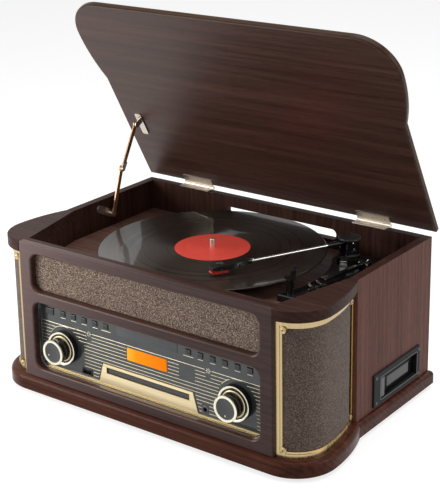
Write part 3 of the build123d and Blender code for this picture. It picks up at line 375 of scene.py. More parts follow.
def plastic(name, colour, roughness, grain=700):
    """Moulded plastic with a fine spark-eroded grain and slight wear in its gloss."""
    finish, tree, shader = solid_finish(name, colour, roughness)
    smears = noise(tree, pattern_place(tree, (25, 25, 25)), 3, 0.6)
    tinted(tree, shader, smears, [0.82 * c for c in colour], [1.15 * c for c in colour])
    glossed(tree, shader, smears, max(roughness - 0.06, 0.02), roughness + 0.06)
    relief(tree, shader, noise(tree, pattern_place(tree, (grain, grain, grain)), 2), 0.1, 0.0001)
    return finish


def apart(tree, vector):
    """The x, y and z of a vector, as three sockets."""
    return add_node(tree, "ShaderNodeSeparateXYZ", inputs={0: vector}).outputs


def weave(name, dark, middle, light, pitch):
    """Basket weave of flecked yarn over the piece's own map, whose unit is a metre."""
    finish, tree, shader = solid_finish(name, dark, 0.9)
    cloth_map = add_node(tree, "ShaderNodeUVMap", {"uv_map": "cloth"}).outputs[0]
    threads = [calc(tree, "MULTIPLY", way, pi / pitch) for way in apart(tree, cloth_map)[:2]]
    waves = [calc(tree, "SINE", thread) for thread in threads]
    over = calc(tree, "GREATER_THAN", calc(tree, "MULTIPLY", *waves), 0.0)
    crowns = [calc(tree, "ABSOLUTE", wave) for wave in waves]
    crown_here = add_node(tree, "ShaderNodeMix", inputs={
        "Factor": over, 2: crowns[0], 3: crowns[1]})
    yarn = add_node(tree, "ShaderNodeTexVoronoi", inputs={
        "Vector": cloth_map, "Scale": 0.95 / pitch, "Randomness": 1.0}).outputs["Color"]
    soft = noise(tree, cloth_map, 2, 0.6, 0.35 / pitch)
    shade = calc(tree, "MULTIPLY_ADD", apart(tree, yarn)[0], 0.6,
                 calc(tree, "MULTIPLY", soft, 0.4))
    colour = ramp(tree, shade, ((0.24, dark), (0.56, middle), (0.80, light)))
    # Painted shade: the yarn darkens where it dips between crossings.
    hollow_shade = ramp(tree, crown_here.outputs[0], ((0.0, (0.45, 0.42, 0.4)), (0.6, (1, 1, 1))))
    tree.links.new(multiplied(tree, 0.8, colour, hollow_shade), shader.inputs["Base Color"])
    relief(tree, shader, crown_here.outputs[0], 0.5, 0.0003)
    shader.inputs["Sheen Weight"].default_value = 0.15
    return finish


def bowed(inset, steps=40, start=208.0, end=122.0):
    """Places along the plan of the right column, this far inside the crown's outline."""
    corner_x, corner_y, corner_radius = 199, 50, 50
    bulge, bulge_length = 15, 80
    front_radius = corner_radius - inset
    side_radius = (bulge ** 2 + bulge_length ** 2) / (2 * bulge)
    widest = corner_x + corner_radius - inset
    start_depth = 45
    first, last = atan2(start - corner_x, start_depth), atan2(end - corner_y, side_radius)
    places = []
    for step in range(steps + 1):
        turn = first + (pi / 2 - first) * step / steps
        places.append((corner_x + front_radius * sin(turn), corner_y - front_radius * cos(turn)))
    for step in range(1, steps + 1):
        turn = last * step / steps
        places.append((widest - side_radius * (1 - cos(turn)), corner_y + side_radius * sin(turn)))
    return places


def cloth_sheet(name, places, bottom, top, side, finish):
    """Cloth stretched along a plan line between two heights, mapped by its own length."""
    mesh = bpy.data.meshes.new(name)
    length = [0.0]
    for (x, y), (next_x, next_y) in zip(places, places[1:]):
        length.append(length[-1] + hypot(next_x - x, next_y - y) / 1000)
    rows = (bottom, top)
    mesh.from_pydata([at(side * x, y, z) for z in rows for x, y in places], [],
                     [(i, i + 1, i + 1 + len(places), i + len(places))[::side]
                      for i in range(len(places) - 1)])
    cloth_map = mesh.uv_layers.new(name="cloth")
    for loop in mesh.loops:
        row, place = divmod(loop.vertex_index, len(places))
        cloth_map.data[loop.index].uv = (length[place], rows[row] / 1000)
    piece = shaped(name, mesh, finish)
    backing = piece.modifiers.new("backing", "SOLIDIFY")
    backing.thickness, backing.offset = 0.0007, -1
    baked(piece)
    soften(piece.data)
    return fasten(piece, "cabinet"), length[-1]


def grown(name, mesh, sizes, build, finishes, angle):
    """A plain mesh grown on points or lines by a tree.

    sizes are the tree's named inputs, as (name, kind, value); build(tree, given) makes the
    shape; finishes are (material, name of the marked faces, or None for all)."""
    piece = shaped(name, mesh, None)
    tree = bpy.data.node_groups.new(name, "GeometryNodeTree")
    tree.interface.new_socket("Geometry", in_out="INPUT", socket_type="NodeSocketGeometry")
    sockets = [tree.interface.new_socket(label, in_out="INPUT", socket_type="NodeSocket" + kind)
               for label, kind, value in sizes]
    tree.interface.new_socket("Geometry", in_out="OUTPUT", socket_type="NodeSocketGeometry")
    given, made = tree.nodes.new("NodeGroupInput"), tree.nodes.new("NodeGroupOutput")
    shape = build(tree, given.outputs)
    shape = add_node(tree, "GeometryNodeRealizeInstances", inputs={0: shape}).outputs[0]
    for finish, marked in finishes:
        inputs = {"Geometry": shape, "Material": finish}
        if marked:
            inputs["Selection"] = add_node(tree, "GeometryNodeInputNamedAttribute", {
                "data_type": "BOOLEAN"}, {"Name": marked}).outputs[0]
        shape = add_node(tree, "GeometryNodeSetMaterial", inputs=inputs).outputs[0]
    tree.links.new(shape, made.inputs[0])
    grow = piece.modifiers.new("grown", "NODES")
    grow.node_group = tree
    for socket, (label, kind, value) in zip(sockets, sizes):
        grow[socket.identifier] = value
    baked(piece)
    soften(piece.data, angle)
    return piece


def screw_rows(tree, given):
    """A domed head on a skirt, its cross marked as the recess, set on each point's facing."""
    size = given["Head radius"]
    rise = calc(tree, "MULTIPLY", size, 0.26)
    dome = add_node(tree, "GeometryNodeMeshCone", inputs={
        "Vertices": 20, "Radius Top": calc(tree, "MULTIPLY", size, 0.66), "Radius Bottom": size,
        "Depth": rise})
    skirt = add_node(tree, "GeometryNodeMeshCylinder", inputs={
        "Vertices": 20, "Radius": size, "Depth": calc(tree, "MULTIPLY", size, 0.4)})
    pieces = [dome.outputs["Mesh"], skirt.outputs["Mesh"]]
    long, thin = calc(tree, "MULTIPLY", size, 1.05), calc(tree, "MULTIPLY", size, 0.24)
    for across in ((long, thin), (thin, long)):
        extent = add_node(tree, "ShaderNodeCombineXYZ", inputs={
            0: across[0], 1: across[1], 2: calc(tree, "MULTIPLY", size, 0.08)})
        bar = add_node(tree, "GeometryNodeMeshCube", inputs={"Size": extent.outputs[0]})
        lift = add_node(tree, "ShaderNodeCombineXYZ", inputs={2: rise})
        lifted = add_node(tree, "GeometryNodeTransform", inputs={
            "Geometry": bar.outputs["Mesh"], "Translation": lift.outputs[0]})
        marked = add_node(tree, "GeometryNodeStoreNamedAttribute", {
            "data_type": "BOOLEAN", "domain": "FACE"}, {
            "Geometry": lifted.outputs[0], "Name": "recess", "Value": True})
        pieces.append(marked.outputs[0])
    joined = tree.nodes.new("GeometryNodeJoinGeometry")
    for part in pieces:
        tree.links.new(part, joined.inputs[0])
    heading = add_node(tree, "GeometryNodeInputNamedAttribute", {"data_type": "FLOAT_VECTOR"},
                       {"Name": "facing"})
    aim = add_node(tree, "FunctionNodeAlignRotationToVector", {"axis": "Z"}, {
        "Vector": heading.outputs[0]})
    chance = add_node(tree, "FunctionNodeRandomValue", {"data_type": "FLOAT_VECTOR"}, {
        0: (0, 0, 0), 1: (0, 0, 3.1), "Seed": 4})
    twist = add_node(tree, "FunctionNodeRotateRotation", {"rotation_space": "LOCAL"}, {
        0: aim.outputs[0], 1: chance.outputs[0]})
    return add_node(tree, "GeometryNodeInstanceOnPoints", inputs={
        "Points": given["Geometry"], "Instance": joined.outputs[0],
        "Rotation": twist.outputs[0]}).outputs[0]


def crosshead_screws(name, seats, radius, plating, body):
    """Crosshead screws at (place, facing) seats; the cross in each head is painted black, as
    painted shade.
    """
    mesh = bpy.data.meshes.new(name)
    mesh.from_pydata([place for place, facing in seats], [], [])
    way = mesh.attributes.new("facing", "FLOAT_VECTOR", "POINT")
    for point, (place, facing) in zip(way.data, seats):
        point.vector = facing
    screws = grown(name, mesh, [("Head radius", "Float", radius)], screw_rows,
                   [(plating, None), (recess_shade_black, "recess")], 50)
    return fasten(screws, body)


gold_frame = brass("gold_frame", (0.56, 0.43, 0.23), 0.22)
screw_brass = brass("screw_brass", (0.52, 0.40, 0.22), 0.32, (900, 900, 60))
# Painted shade: the black laid on the crosses of the screw heads.
recess_shade_black = plastic("recess_shade_black", (0.015, 0.013, 0.012), 0.6)
# The columns' cloth is a darker, finer copy of the front cloth; the darkness is painted shade.
shaded_column_cloth = weave("shaded_column_cloth", (0.046, 0.026, 0.019), (0.125, 0.080, 0.060),
                     (0.34, 0.26, 0.205), 0.00066)
board_black = plastic("board_black", (0.025, 0.022, 0.02), 0.8)
cloth_inset, cloth_bottom, cloth_top = 7.3, 8.2, 164.8
screw_heights, front_screw_x, side_screw_x = (10.5, 162.5), 210.5, 231.2
for side, name in ((-1, "left"), (1, "right")):
    made_from(name + "_speaker_frame", gold_frame, 0.0003)
    column, girth = cloth_sheet(name + "_shaded_column_cloth", bowed(cloth_inset), cloth_bottom,
                                cloth_top, side, shaded_column_cloth)
    seats = [(at(side * front_screw_x, 5.2, z), Vector((0, -1, 0))) for z in screw_heights]
    seats += [(at(side * side_screw_x, 121.6, z), Vector((side, 0, 0))) for z in screw_heights]
    crosshead_screws(name + "_frame_screws", seats, 0.0027, screw_brass, "cabinet")
made_from("speaker_cloths", board_black)
made_from("speakers", plastic("speaker_black", (0.03, 0.03, 0.03), 0.6))

# ================================================================ front cloth
# The upper window has no speaker: it shows a flat board covered in the same kind of cloth as the
# columns', stretched over it and stapled behind; the columns' copy is painted darker, as painted
# shade.
def rounded_box(width, height, radius, steps=8):
    """Outline of a rectangle with round corners, anticlockwise, about its middle."""
    outline = []
    for corner, (side_x, side_y) in enumerate(((1, 1), (-1, 1), (-1, -1), (1, -1))):
        for step in range(steps + 1):
            turn = (corner + step / steps) * pi / 2
            outline.append((side_x * (width / 2 - radius) + radius * cos(turn),
                            side_y * (height / 2 - radius) + radius * sin(turn)))
    return outline


def slab(name, outline, place, rise, finish, edge=0.0):
    """A flat piece: an outline in the plane that place() gives, raised by a vector."""
    mesh = bpy.data.meshes.new(name)
    count = len(outline)
    lower = [place(x, y) for x, y in outline]
    upper = [corner + rise for corner in lower]
    mesh.from_pydata(lower + upper, [], [tuple(range(count))[::-1], tuple(range(count, 2 * count))]
                     + [(i, (i + 1) % count, (i + 1) % count + count, i + count)
                        for i in range(count)])
    work = bmesh.new()
    work.from_mesh(mesh)
    bmesh.ops.recalc_face_normals(work, faces=work.faces)
    work.to_mesh(mesh)
    work.free()
    piece = shaped(name, mesh, finish)
    if edge:
        bevel = piece.modifiers.new("eased", "BEVEL")
        bevel.width, bevel.segments, bevel.limit_method = edge, 2, "ANGLE"
        baked(piece)
    soften(piece.data)
    return piece


made_from("front_grille", board_black)
front_weave = weave("speaker_cloth", (0.050, 0.028, 0.019), (0.19, 0.122, 0.088),
                    (0.62, 0.47, 0.36), 0.0008)
front_cloth = slab("front_cloth", rounded_box(360.6, 51.3, 12.8),
                   lambda x, z: at(x, 9.95, z + 148.65), Vector((0, -0.0006, 0)), front_weave)
front_map = front_cloth.data.uv_layers.new(name="cloth")
for loop in front_cloth.data.loops:
    corner = front_cloth.data.vertices[loop.vertex_index].co
    front_map.data[loop.index].uv = (corner.x, corner.z)
fasten(front_cloth, "cabinet")

# ================================================================ control panel
# One slate-grey moulding behind the lower window. Cream foil is stamped along its raised lines:
# thirteen rules that stop short of the knobs, the display and the disc slot, the arcs of the two
# dials, two stars and a dash under each button. A smoked strip is let in between the buttons.
panel_slate = plastic("panel_slate", (0.058, 0.064, 0.064), 0.12)
made_from("control_panel", panel_slate)
cream_foil = brass("cream_foil", (0.50, 0.45, 0.33), 0.4, (9, 400, 400))
bright_foil = brass("bright_foil", (0.66, 0.60, 0.46), 0.36, (9, 400, 400))


def round_bead(tree, given):
    """Sweeps a round bead along every edge."""
    path = add_node(tree, "GeometryNodeMeshToCurve", inputs={"Mesh": given["Geometry"]})
    bead = add_node(tree, "GeometryNodeCurvePrimitiveCircle", inputs={
        "Resolution": 8, "Radius": given["Radius"]})
    return add_node(tree, "GeometryNodeCurveToMesh", inputs={
        "Curve": path.outputs[0], "Profile Curve": bead.outputs[0], "Fill Caps": True}).outputs[0]


def swept_lines(name, runs, radius, finish):
    """Round raised lines along runs of places."""
    corners, edges = [], []
    for run in runs:
        edges += [(len(corners) + i, len(corners) + i + 1) for i in range(len(run) - 1)]
        corners += run
    mesh = bpy.data.meshes.new(name)
    mesh.from_pydata(corners, edges, [])
    return grown(name, mesh, [("Radius", "Float", radius)], round_bead, [(finish, None)], 60)


knob_x, knob_z, bare_radius, dial_radius = 138.8, 49.2, 28.5, 28.3
star_x, star_z, foil_y, marks_y = 96.2, 77.7, 14.2, 14.1
top_rule, rule_pitch, rule_end, shortest_rule = 78.5, 4.8, 179, 2
trim_top, trim_height, trim_half, trim_flare, trim_gap = 43.5, 26.3, 72.5, 7.5, 2.5
# left, right, bottom and top of the display, the wide button and the two sockets
bare_boxes = [(-33.5, 33.5, 57, 77.5), (51, 76, 58, 75), (-112.5, -90.5, 17, 29),
              (85, 97, 19.5, 31)]
# side, how far a knob's marks reach to its right, and the height that they end below
knob_marks = ((-1, 33.5, 62), (1, 28.8, 40))
rules = []
for line in range(13):
    z = top_rule - rule_pitch * line
    breaks = [(low, high) for low, high, bottom, top in bare_boxes if bottom < z < top]
    if abs(z - knob_z) < bare_radius:
        reach = sqrt(bare_radius ** 2 - (z - knob_z) ** 2)
        for side, marks_reach, marks_top in knob_marks:
            right = max(reach, marks_reach) if z < marks_top else reach
            breaks.append((side * knob_x - reach, side * knob_x + right))
    if z < trim_top + 1:
        reach = trim_half + (trim_top - z) * trim_flare / trim_height + trim_gap
        breaks.append((-reach, reach))
    if abs(z - 71.6) < 4:
        breaks += [(side * 96 - 4, side * 96 + 4) for side in (-1, 1)]
    if line == 0:
        breaks += [(side * star_x - 5.5, side * star_x + 5.5) for side in (-1, 1)]
    left = -rule_end
    for low, high in sorted(breaks) + [(rule_end, rule_end)]:
        if low - left > shortest_rule:
            rules.append([at(left, foil_y, z), at(low, foil_y, z)])
        left = max(left, high)
top_rules = [rule for rule in rules if rule[0].z > base + 0.078]
lower_rules = [rule for rule in rules if rule not in top_rules]
for name, runs, foil in (("panel_rules", lower_rules, cream_foil),
                         ("top_rules", top_rules, bright_foil)):
    fasten(swept_lines(name, runs, 0.0005, foil), "cabinet")

marks, first_button, button_pitch = [], 66.4, 18.4
for side, count in ((-1, 5), (1, 6)):
    for place in range(count):
        middle = side * (first_button + button_pitch * place)
        half = 8 if place == 0 else 4
        marks.append([at(middle - half, marks_y, 89), at(middle + half, marks_y, 89)])
    for ray in range(8):
        turn = ray * pi / 4
        marks.append([at(side * star_x + r * cos(turn), marks_y, star_z + r * sin(turn))
                      for r in (1.2, 3.8)])
for side, start, end in ((-1, 77, 147), (1, 113, 145)):      # the arcs, in degrees
    marks.append([at(side * knob_x + dial_radius * cos(radians(turn)), marks_y,
                     knob_z + dial_radius * sin(radians(turn)))
                  for turn in range(start, end + 1, 5)])
marks.append([at(x, marks_y, 78) for x in (131.7, 146.4)])
fasten(swept_lines("panel_marks", marks, 0.00042, bright_foil), "cabinet")

smoke = plastic("smoke", (0.050, 0.056, 0.060), 0.16)
band = slab("smoked_band", rounded_box(98, 17.5, 0.8), lambda x, z: at(x, 14.0, z + 97.3),
            Vector((0, -0.0004, 0)), smoke, 0.0001)
band_ends = swept_lines("band_ends", [[at(x, 13.9, z) for z in (89, 105.5)]
                                      for x in (-49.2, 49.2)], 0.0004, smoke)
for strip in (band, band_ends):
    fasten(strip, "cabinet")

# ================================================================ disc slot and display
# A gold-plated trim round the slot, in one piece with the bar below the panel; a ribbed rubber
# flap that keeps dust out of the slot; and the amber window of the display.
gold_plate = brass("gold_plate", (0.80, 0.67, 0.42), 0.4, (7, 400, 400))
shaded_ledge_gold = brass("shaded_ledge_gold", (0.34, 0.27, 0.14), 0.5, (7, 400, 400))
trim = made_from("cd_trim", gold_plate, 0.0002)
# The trim's upward faces get a darker, browner copy of its gold: painted shade.
paint(trim, shaded_ledge_gold, lambda middle, facing: facing.z > 0.5)
flap_rubber, tree, shader = solid_finish("flap_rubber", (0.06, 0.06, 0.058), 0.7)
hatch = add_node(tree, "ShaderNodeTexWave", {
    "wave_type": "BANDS", "bands_direction": "DIAGONAL", "wave_profile": "SIN"}, {
    "Vector": pattern_place(tree, (1, 1, 1)), "Scale": 330.0})
hatched = ramp(tree, hatch.outputs["Fac"], ((0.2, (0.03, 0.03, 0.03)), (0.8, (0.11, 0.11, 0.105))))
tree.links.new(hatched, shader.inputs["Base Color"])
relief(tree, shader, hatch.outputs["Fac"], 0.5, 0.0002)
slot_flap = slab("slot_flap", rounded_box(133.4, 5.8, 0.4), lambda x, z: at(x, 15.7, z + 34.1),
                 Vector((0, -0.0009, 0)), flap_rubber)
fasten(slot_flap, "cabinet")
amber, tree, shader = solid_finish("amber", (0.85, 0.30, 0.02), 0.14)
across = apart(tree, pattern_place(tree, (1 / 0.064, 1, 1), shift=(0.032, 0, 0)))[0]
glow_tint = ramp(tree, across, ((0.0, (1.0, 0.42, 0.03)), (0.25, (0.92, 0.27, 0.005)),
                                (1.0, (0.80, 0.18, 0.0))))
cells = noise(tree, pattern_place(tree, (120, 1, 260)), 2, 0.5)
lit = multiplied(tree, 0.3, glow_tint,
                 ramp(tree, cells, ((0.3, (0.8, 0.75, 0.6)), (0.6, (1, 1, 1)))))
feed(tree, shader, {"Base Color": lit, "Emission Color": lit, "Emission Strength": 0.45,
                    "Specular IOR Level": 0.05})
made_from("display", amber, 0.0003)

# ================================================================ knobs
# Both knobs are black ribbed barrels on a broader ribbed base, with a cream metal ring on each
# and a sunken dark face that has one white dot. Each is pushed on the shaft of its control.
def turned(name, profile, centre, direction, finish, segments=96, smooth=32):
    """A lathe-turned piece: profile is (radius, height along the direction), in metres."""
    mesh = bpy.data.meshes.new(name)
    work = bmesh.new()
    axis = Vector(direction).normalized()
    spin = axis.to_track_quat("Z", "Y").to_matrix()
    rings = []
    for radius, height in profile:
        if radius < 1e-7:
            rings.append([work.verts.new(centre + axis * height)])
            continue
        rings.append([work.verts.new(centre + axis * height + spin @ Vector(
            (radius * cos(2 * pi * i / segments), radius * sin(2 * pi * i / segments), 0)))
            for i in range(segments)])
    for lower, upper in zip(rings, rings[1:]):
        for i in range(segments):
            j = (i + 1) % segments
            loop = [lower[i % len(lower)], lower[j % len(lower)],
                    upper[j % len(upper)], upper[i % len(upper)]]
            corners = list(dict.fromkeys(loop))
            if len(corners) > 2:
                work.faces.new(corners)
    bmesh.ops.remove_doubles(work, verts=work.verts, dist=1e-6)
    bmesh.ops.recalc_face_normals(work, faces=work.faces)
    work.to_mesh(mesh)
    work.free()
    piece = shaped(name, mesh, finish)
    soften(piece.data, smooth)
    return piece


def mm(*pairs):
    """Profile points given in millimetres."""
    return [(x / 1000, y / 1000) for x, y in pairs]


knob_black = plastic("knob_black", (0.010, 0.010, 0.010), 0.14)
knob_face = plastic("knob_face", (0.040, 0.042, 0.042), 0.22)
ring_metal = brass("ring_metal", (0.90, 0.85, 0.68), 0.18)
dot_white = plastic("dot_white", (0.8, 0.8, 0.78), 0.4)


def ribs_in_a_ring(tree, given):
    """Upright ribs set on a circle."""
    ring = add_node(tree, "GeometryNodeMeshCircle", inputs={
        "Vertices": given["Ribs"], "Radius": given["Radius"]})
    rib = add_node(tree, "GeometryNodeMeshCylinder", inputs={
        "Vertices": 6, "Radius": given["Width"], "Depth": given["Length"]})
    return add_node(tree, "GeometryNodeInstanceOnPoints", inputs={
        "Points": ring.outputs[0], "Instance": rib.outputs[0]}).outputs[0]


def barrel_ribs(name, centre, radius, count, near, far, finish):
    """Ribs round a barrel, lying along the knob's axis."""
    mesh = bpy.data.meshes.new(name)
    mesh.from_pydata([(0, 0, 0)], [], [])
    sizes = [("Ribs", "Int", count), ("Radius", "Float", radius / 1000),
             ("Length", "Float", (far - near) / 1000), ("Width", "Float", 0.0006)]
    piece = grown(name, mesh, sizes, ribs_in_a_ring, [(finish, None)], 50)
    piece.data.transform(Matrix.Translation(centre + Vector((0, (near + far) / 2000, 0)))
                         @ Matrix.Rotation(radians(90), 4, "X"))
    return piece


knob_rings = (
    ("_base_ring", ring_metal, mm((19.8, -6.4), (22.3, -6.4), (22.9, -6.1), (22.9, -5.5),
                                  (22.2, -4.7), (20.6, -4.6), (19.8, -5.0), (19.8, -6.4))),
    ("_inner_ring", gold_plate, mm((15.0, -6.4), (17.3, -6.4), (17.3, -5.7), (16.7, -5.2),
                                   (15.0, -5.2), (15.0, -6.4))),
    ("_cap_ring", ring_metal, mm((13.5, 7.6), (16.2, 7.6), (17.0, 8.3), (17.0, 10.2),
                                 (16.3, 11.0), (14.2, 11.0), (13.5, 10.2), (13.5, 7.6))),
    ("_face", knob_face, mm((0, 8.5), (3, 8.55), (9, 9.0), (13.6, 9.8), (13.6, 7.7), (0, 7.7))))
toward, dot_reach = (0, -1, 0), 9.8
for name, side, dot in (("volume", -1, 212), ("tuning", 1, 265)):
    body, centre = name + "_knob", at(side * knob_x, 0, knob_z)
    base_barrel = turned(name + "_base", mm((0, -23.5), (3, -23.5), (3, -13.7), (22, -13.7),
                         (22.3, -13.3), (22.3, -6.2), (21.6, -5.9), (20, -5.9), (19.6, -6.3),
                         (15.2, -6.3), (15.2, 8), (13, 8), (0, 7.6)), centre, toward, knob_black)
    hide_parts(body)
    parts = [base_barrel,
             barrel_ribs(name + "_base_ribs", centre, 22.3, 72, 6.8, 13.2, knob_black),
             barrel_ribs(name + "_cap_ribs", centre, 15.2, 56, -7.5, 5.8, knob_black)]
    parts += [turned(name + kind, profile, centre, toward, finish)
              for kind, finish, profile in knob_rings]
    dot_place = centre + dot_reach / 1000 * Vector((cos(radians(dot)), 0, sin(radians(dot))))
    parts.append(turned(name + "_dot", mm((0, 9.45), (0.9, 9.4), (1.1, 9.2), (1.1, 8.4), (0, 8.4)),
                        dot_place, toward, dot_white, 20))
    for part in parts:
        fasten(part, body)

# ================================================================ buttons and sockets
# Eleven small caps and the wider power button, each moulded black and pushed through the
# panel; behind them the circuit board with the USB and headphone sockets.
button_black = plastic("button_black", (0.014, 0.014, 0.014), 0.2)
for number in range(1, 13):
    made_from(f"button_{number}", button_black, 0.0003)
board_green = plastic("board_green", (0.02, 0.10, 0.04), 0.4)
front_board = made_from("front_board", board_green)
socket_black = plastic("socket_black", (0.012, 0.012, 0.012), 0.3)
paint(front_board, socket_black, lambda middle, facing: middle.y < front + 0.0238)
usb_x, usb_z, jack_x, jack_z = -101.5, 23, 91, 25.2
usb_surround = swept_lines("usb_surround", [[at(usb_x + x, 13.9, usb_z + z) for x, z in (
    (-8.1, -4.3), (8.1, -4.3), (8.1, 4.3), (-8.1, 4.3), (-8.1, -4.3))]], 0.0008, socket_black)
screw_black = brass("screw_black", (0.16, 0.16, 0.165), 0.35, (900, 900, 60))
jack_nut = turned("jack_nut", mm((3.4, -14.2), (4.7, -14.2), (4.7, -13.6), (4.2, -13.1),
                  (3.4, -13.1), (3.4, -14.2)), at(jack_x, 0, jack_z), toward, screw_black, 32)
for surround in (usb_surround, jack_nut):
    fasten(surround, "cabinet")
loader_steel = brass("loader_steel", (0.45, 0.46, 0.48), 0.35, (9, 300, 300))
made_from("cd_mechanism", loader_steel)

# ================================================================ cassette bay
# A grey-black face plate with a sunken pocket, held by four screws: a flap on a rod closes the
# cassette's mouth, and a tall button beside it ejects the cassette.
bezel_grey = plastic("bezel_grey", (0.024, 0.025, 0.026), 0.36)
pocket_shade_black = plastic("pocket_shade_black", (0.006, 0.006, 0.0065), 0.4)
for finish in (bezel_grey, pocket_shade_black):
    finish.node_tree.nodes["Principled BSDF"].inputs["Specular IOR Level"].default_value = 0.05
bezel = made_from("cassette_bezel", bezel_grey, 0.0003)
# The sunken pocket's walls and floor are painted near-black: painted shade.
paint(bezel, pocket_shade_black, lambda middle, facing: middle.x < 0.2335)
rim_grey = brass("rim_grey", (0.22, 0.225, 0.23), 0.3)
bezel_x, rim = 236.5, rounded_box(93.4, 31.4, 2.2)
pocket_rim = swept_lines("pocket_rim", [[at(bezel_x, y + 231, z + 25) for y, z in rim + rim[:1]]],
                         0.00035, rim_grey)
fasten(pocket_rim, "cabinet")
crosshead_screws("bezel_screws", [(at(bezel_x, y, z), Vector((1, 0, 0)))
                 for y in (174.5, 281.8) for z in (8.5, 42.5)], 0.0019, screw_black, "cabinet")
made_from("cassette_flap", plastic("flap_black", (0.010, 0.010, 0.010), 0.1), 0.0002)
made_from("eject_button", plastic("button_grey", (0.085, 0.087, 0.090), 0.34), 0.0003)
made_from("cassette_mechanism", loader_steel)

# ================================================================ drive
# Inside: the power transformer, the deck's motor with its brass pulley, and the flat rubber belt
# that runs from the pulley to the ring under the platter.
transformer_steel = brass("transformer_steel", (0.22, 0.22, 0.23), 0.5)
made_from("power_transformer", transformer_steel)
made_from("turntable_motor", transformer_steel)
made_from("motor_pulley", brass("pulley_brass", (0.62, 0.46, 0.2), 0.25))
made_from("drive_belt", plastic("belt_rubber", (0.02, 0.02, 0.02), 0.8))

# ================================================================ turntable
# A cast platter, a felt mat, and a pressed vinyl record: its grooves run round the axis, so light
# spreads across them, and its paper label is plain red. A bright sleeve caps the spindle.
platter_black = plastic("platter_black", (0.03, 0.03, 0.03), 0.35)
chrome = brass("chrome", (0.72, 0.72, 0.70), 0.15, (300, 300, 300))
hub = at(-12, 169, 0)
platter = made_from("platter", platter_black)
paint(platter, chrome, lambda middle, facing: hypot(middle.x - hub.x, middle.y - hub.y) < 0.0038
      and middle.z > base + 0.163)
made_from("slip_mat", plastic("mat_felt", (0.03, 0.03, 0.03), 0.95, 2500))

vinyl, tree, shader = solid_finish("vinyl", (0.012, 0.008, 0.006), 0.3)
from_hub = add_node(tree, "ShaderNodeMapping", inputs={
    "Vector": add_node(tree, "ShaderNodeTexCoord").outputs["Object"],
    "Location": (-hub.x, -hub.y, 0)}).outputs[0]
distance = calc(tree, "SQRT", calc(tree, "ADD", *(
    calc(tree, "POWER", calc(tree, "ABSOLUTE", way), 2.0) for way in apart(tree, from_hub)[:2])))
bands = add_node(tree, "ShaderNodeTexNoise", {"noise_dimensions": "1D"}, {
    "W": distance, "Scale": 140.0, "Detail": 4.0, "Roughness": 0.7}).outputs["Fac"]
# The brown in the grooves' tones and the brownish Specular Tint below are a painted reflection of
# the brown lid.
groove_tones_and_reflection = ramp(tree, bands, ((0.35, (0.006, 0.0042, 0.0025)), (0.7, (0.018, 0.012, 0.008))))
glossed(tree, shader, bands, 0.26, 0.40)
along_groove = add_node(tree, "ShaderNodeTangent", {
    "direction_type": "UV_MAP", "uv_map": "grooves"})
feed(tree, shader, {
    "Base Color": groove_tones_and_reflection, "Specular IOR Level": 0.4, "Specular Tint": (1.0, 0.80, 0.64, 1),
    "Tangent": along_groove.outputs[0], "Anisotropic": 0.95, "Anisotropic Rotation": 0.25,
    "Coat Weight": 0.45, "Coat Roughness": 0.04})
record = turned("record_pressing", mm((3.65, 164.7), (150, 164.7), (150.8, 165.4), (150.8, 166.0),
                (150.1, 166.7), (148.3, 166.7), (147, 166.5), (52, 166.5), (50.6, 166.7),
                (3.65, 166.7), (3.65, 164.7)), hub, (0, 0, 1), vinyl, 160, 20)
grooves = record.data.uv_layers.new(name="grooves")
for face in record.data.polygons:
    facing = atan2(face.center.y - hub.y, face.center.x - hub.x)
    for loop in face.loop_indices:
        corner = record.data.vertices[record.data.loops[loop].vertex_index].co
        turn = atan2(corner.y - hub.y, corner.x - hub.x)
        turn += 2 * pi * round((facing - turn) / (2 * pi))
        grooves.data[loop].uv = (turn / (2 * pi), hypot(corner.x - hub.x, corner.y - hub.y) * 5)
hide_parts("record")

label_red, tree, shader = solid_finish("label_red", (0.80, 0.075, 0.048), 0.5)
paper = noise(tree, pattern_place(tree, (260, 260, 260)), 4, 0.6)
tinted(tree, shader, paper, (0.86, 0.074, 0.048), (0.96, 0.096, 0.064))
relief(tree, shader, paper, 0.1, 0.0001)
label = turned("record_label", mm((3.65, 166.6), (50, 166.6), (50, 166.82), (37.2, 166.82),
               (36.6, 166.72), (35.4, 166.72), (34.8, 166.82), (3.65, 166.82), (3.65, 166.6)),
               hub, (0, 0, 1), label_red, 96, 20)
spindle_steel = brass("spindle_steel", (0.80, 0.75, 0.66), 0.3, (900, 900, 60))
spindle = turned("spindle_sleeve", mm((3.2, 166.0), (3.6, 166.0), (3.6, 177.6), (3.3, 178.6),
                 (2.4, 179.1), (0, 179.25)), hub, (0, 0, 1), spindle_steel, 32)
for part, slot in ((record, "vinyl"), (label, "vinyl"), (spindle, "platter_black")):
    fasten(part, "turntable")

# ================================================================ tonearm
# A glossy black base carries the arm's pedestal, its rest and its controls. On the pedestal turn
# two cheeks under a round cap; the arm is an aluminium tube with a black sleeve at the cheeks, a
# collar and a black headshell, and its cartridge has a red stylus carrier.
gloss_black = plastic("gloss_black", (0.010, 0.010, 0.010), 0.12)
cap_black = plastic("cap_black", (0.020, 0.020, 0.021), 0.3)
made_from("tonearm_base", gloss_black, 0.0003)
made_from("arm_clip", gloss_black)
pivot = made_from("tonearm_pivot", gloss_black, 0.0002)
paint(pivot, cap_black, lambda middle, facing: middle.z > base + 0.186)
arm_foot, arm_turn = at(147, 253, 182), radians(240.4)
along_arm = Vector((cos(arm_turn), sin(arm_turn), 0))
arm_side = Vector((sin(arm_turn), -cos(arm_turn), 0))


def along(place):
    """How far a place is along the arm from its foot."""
    return (place - arm_foot).dot(along_arm)


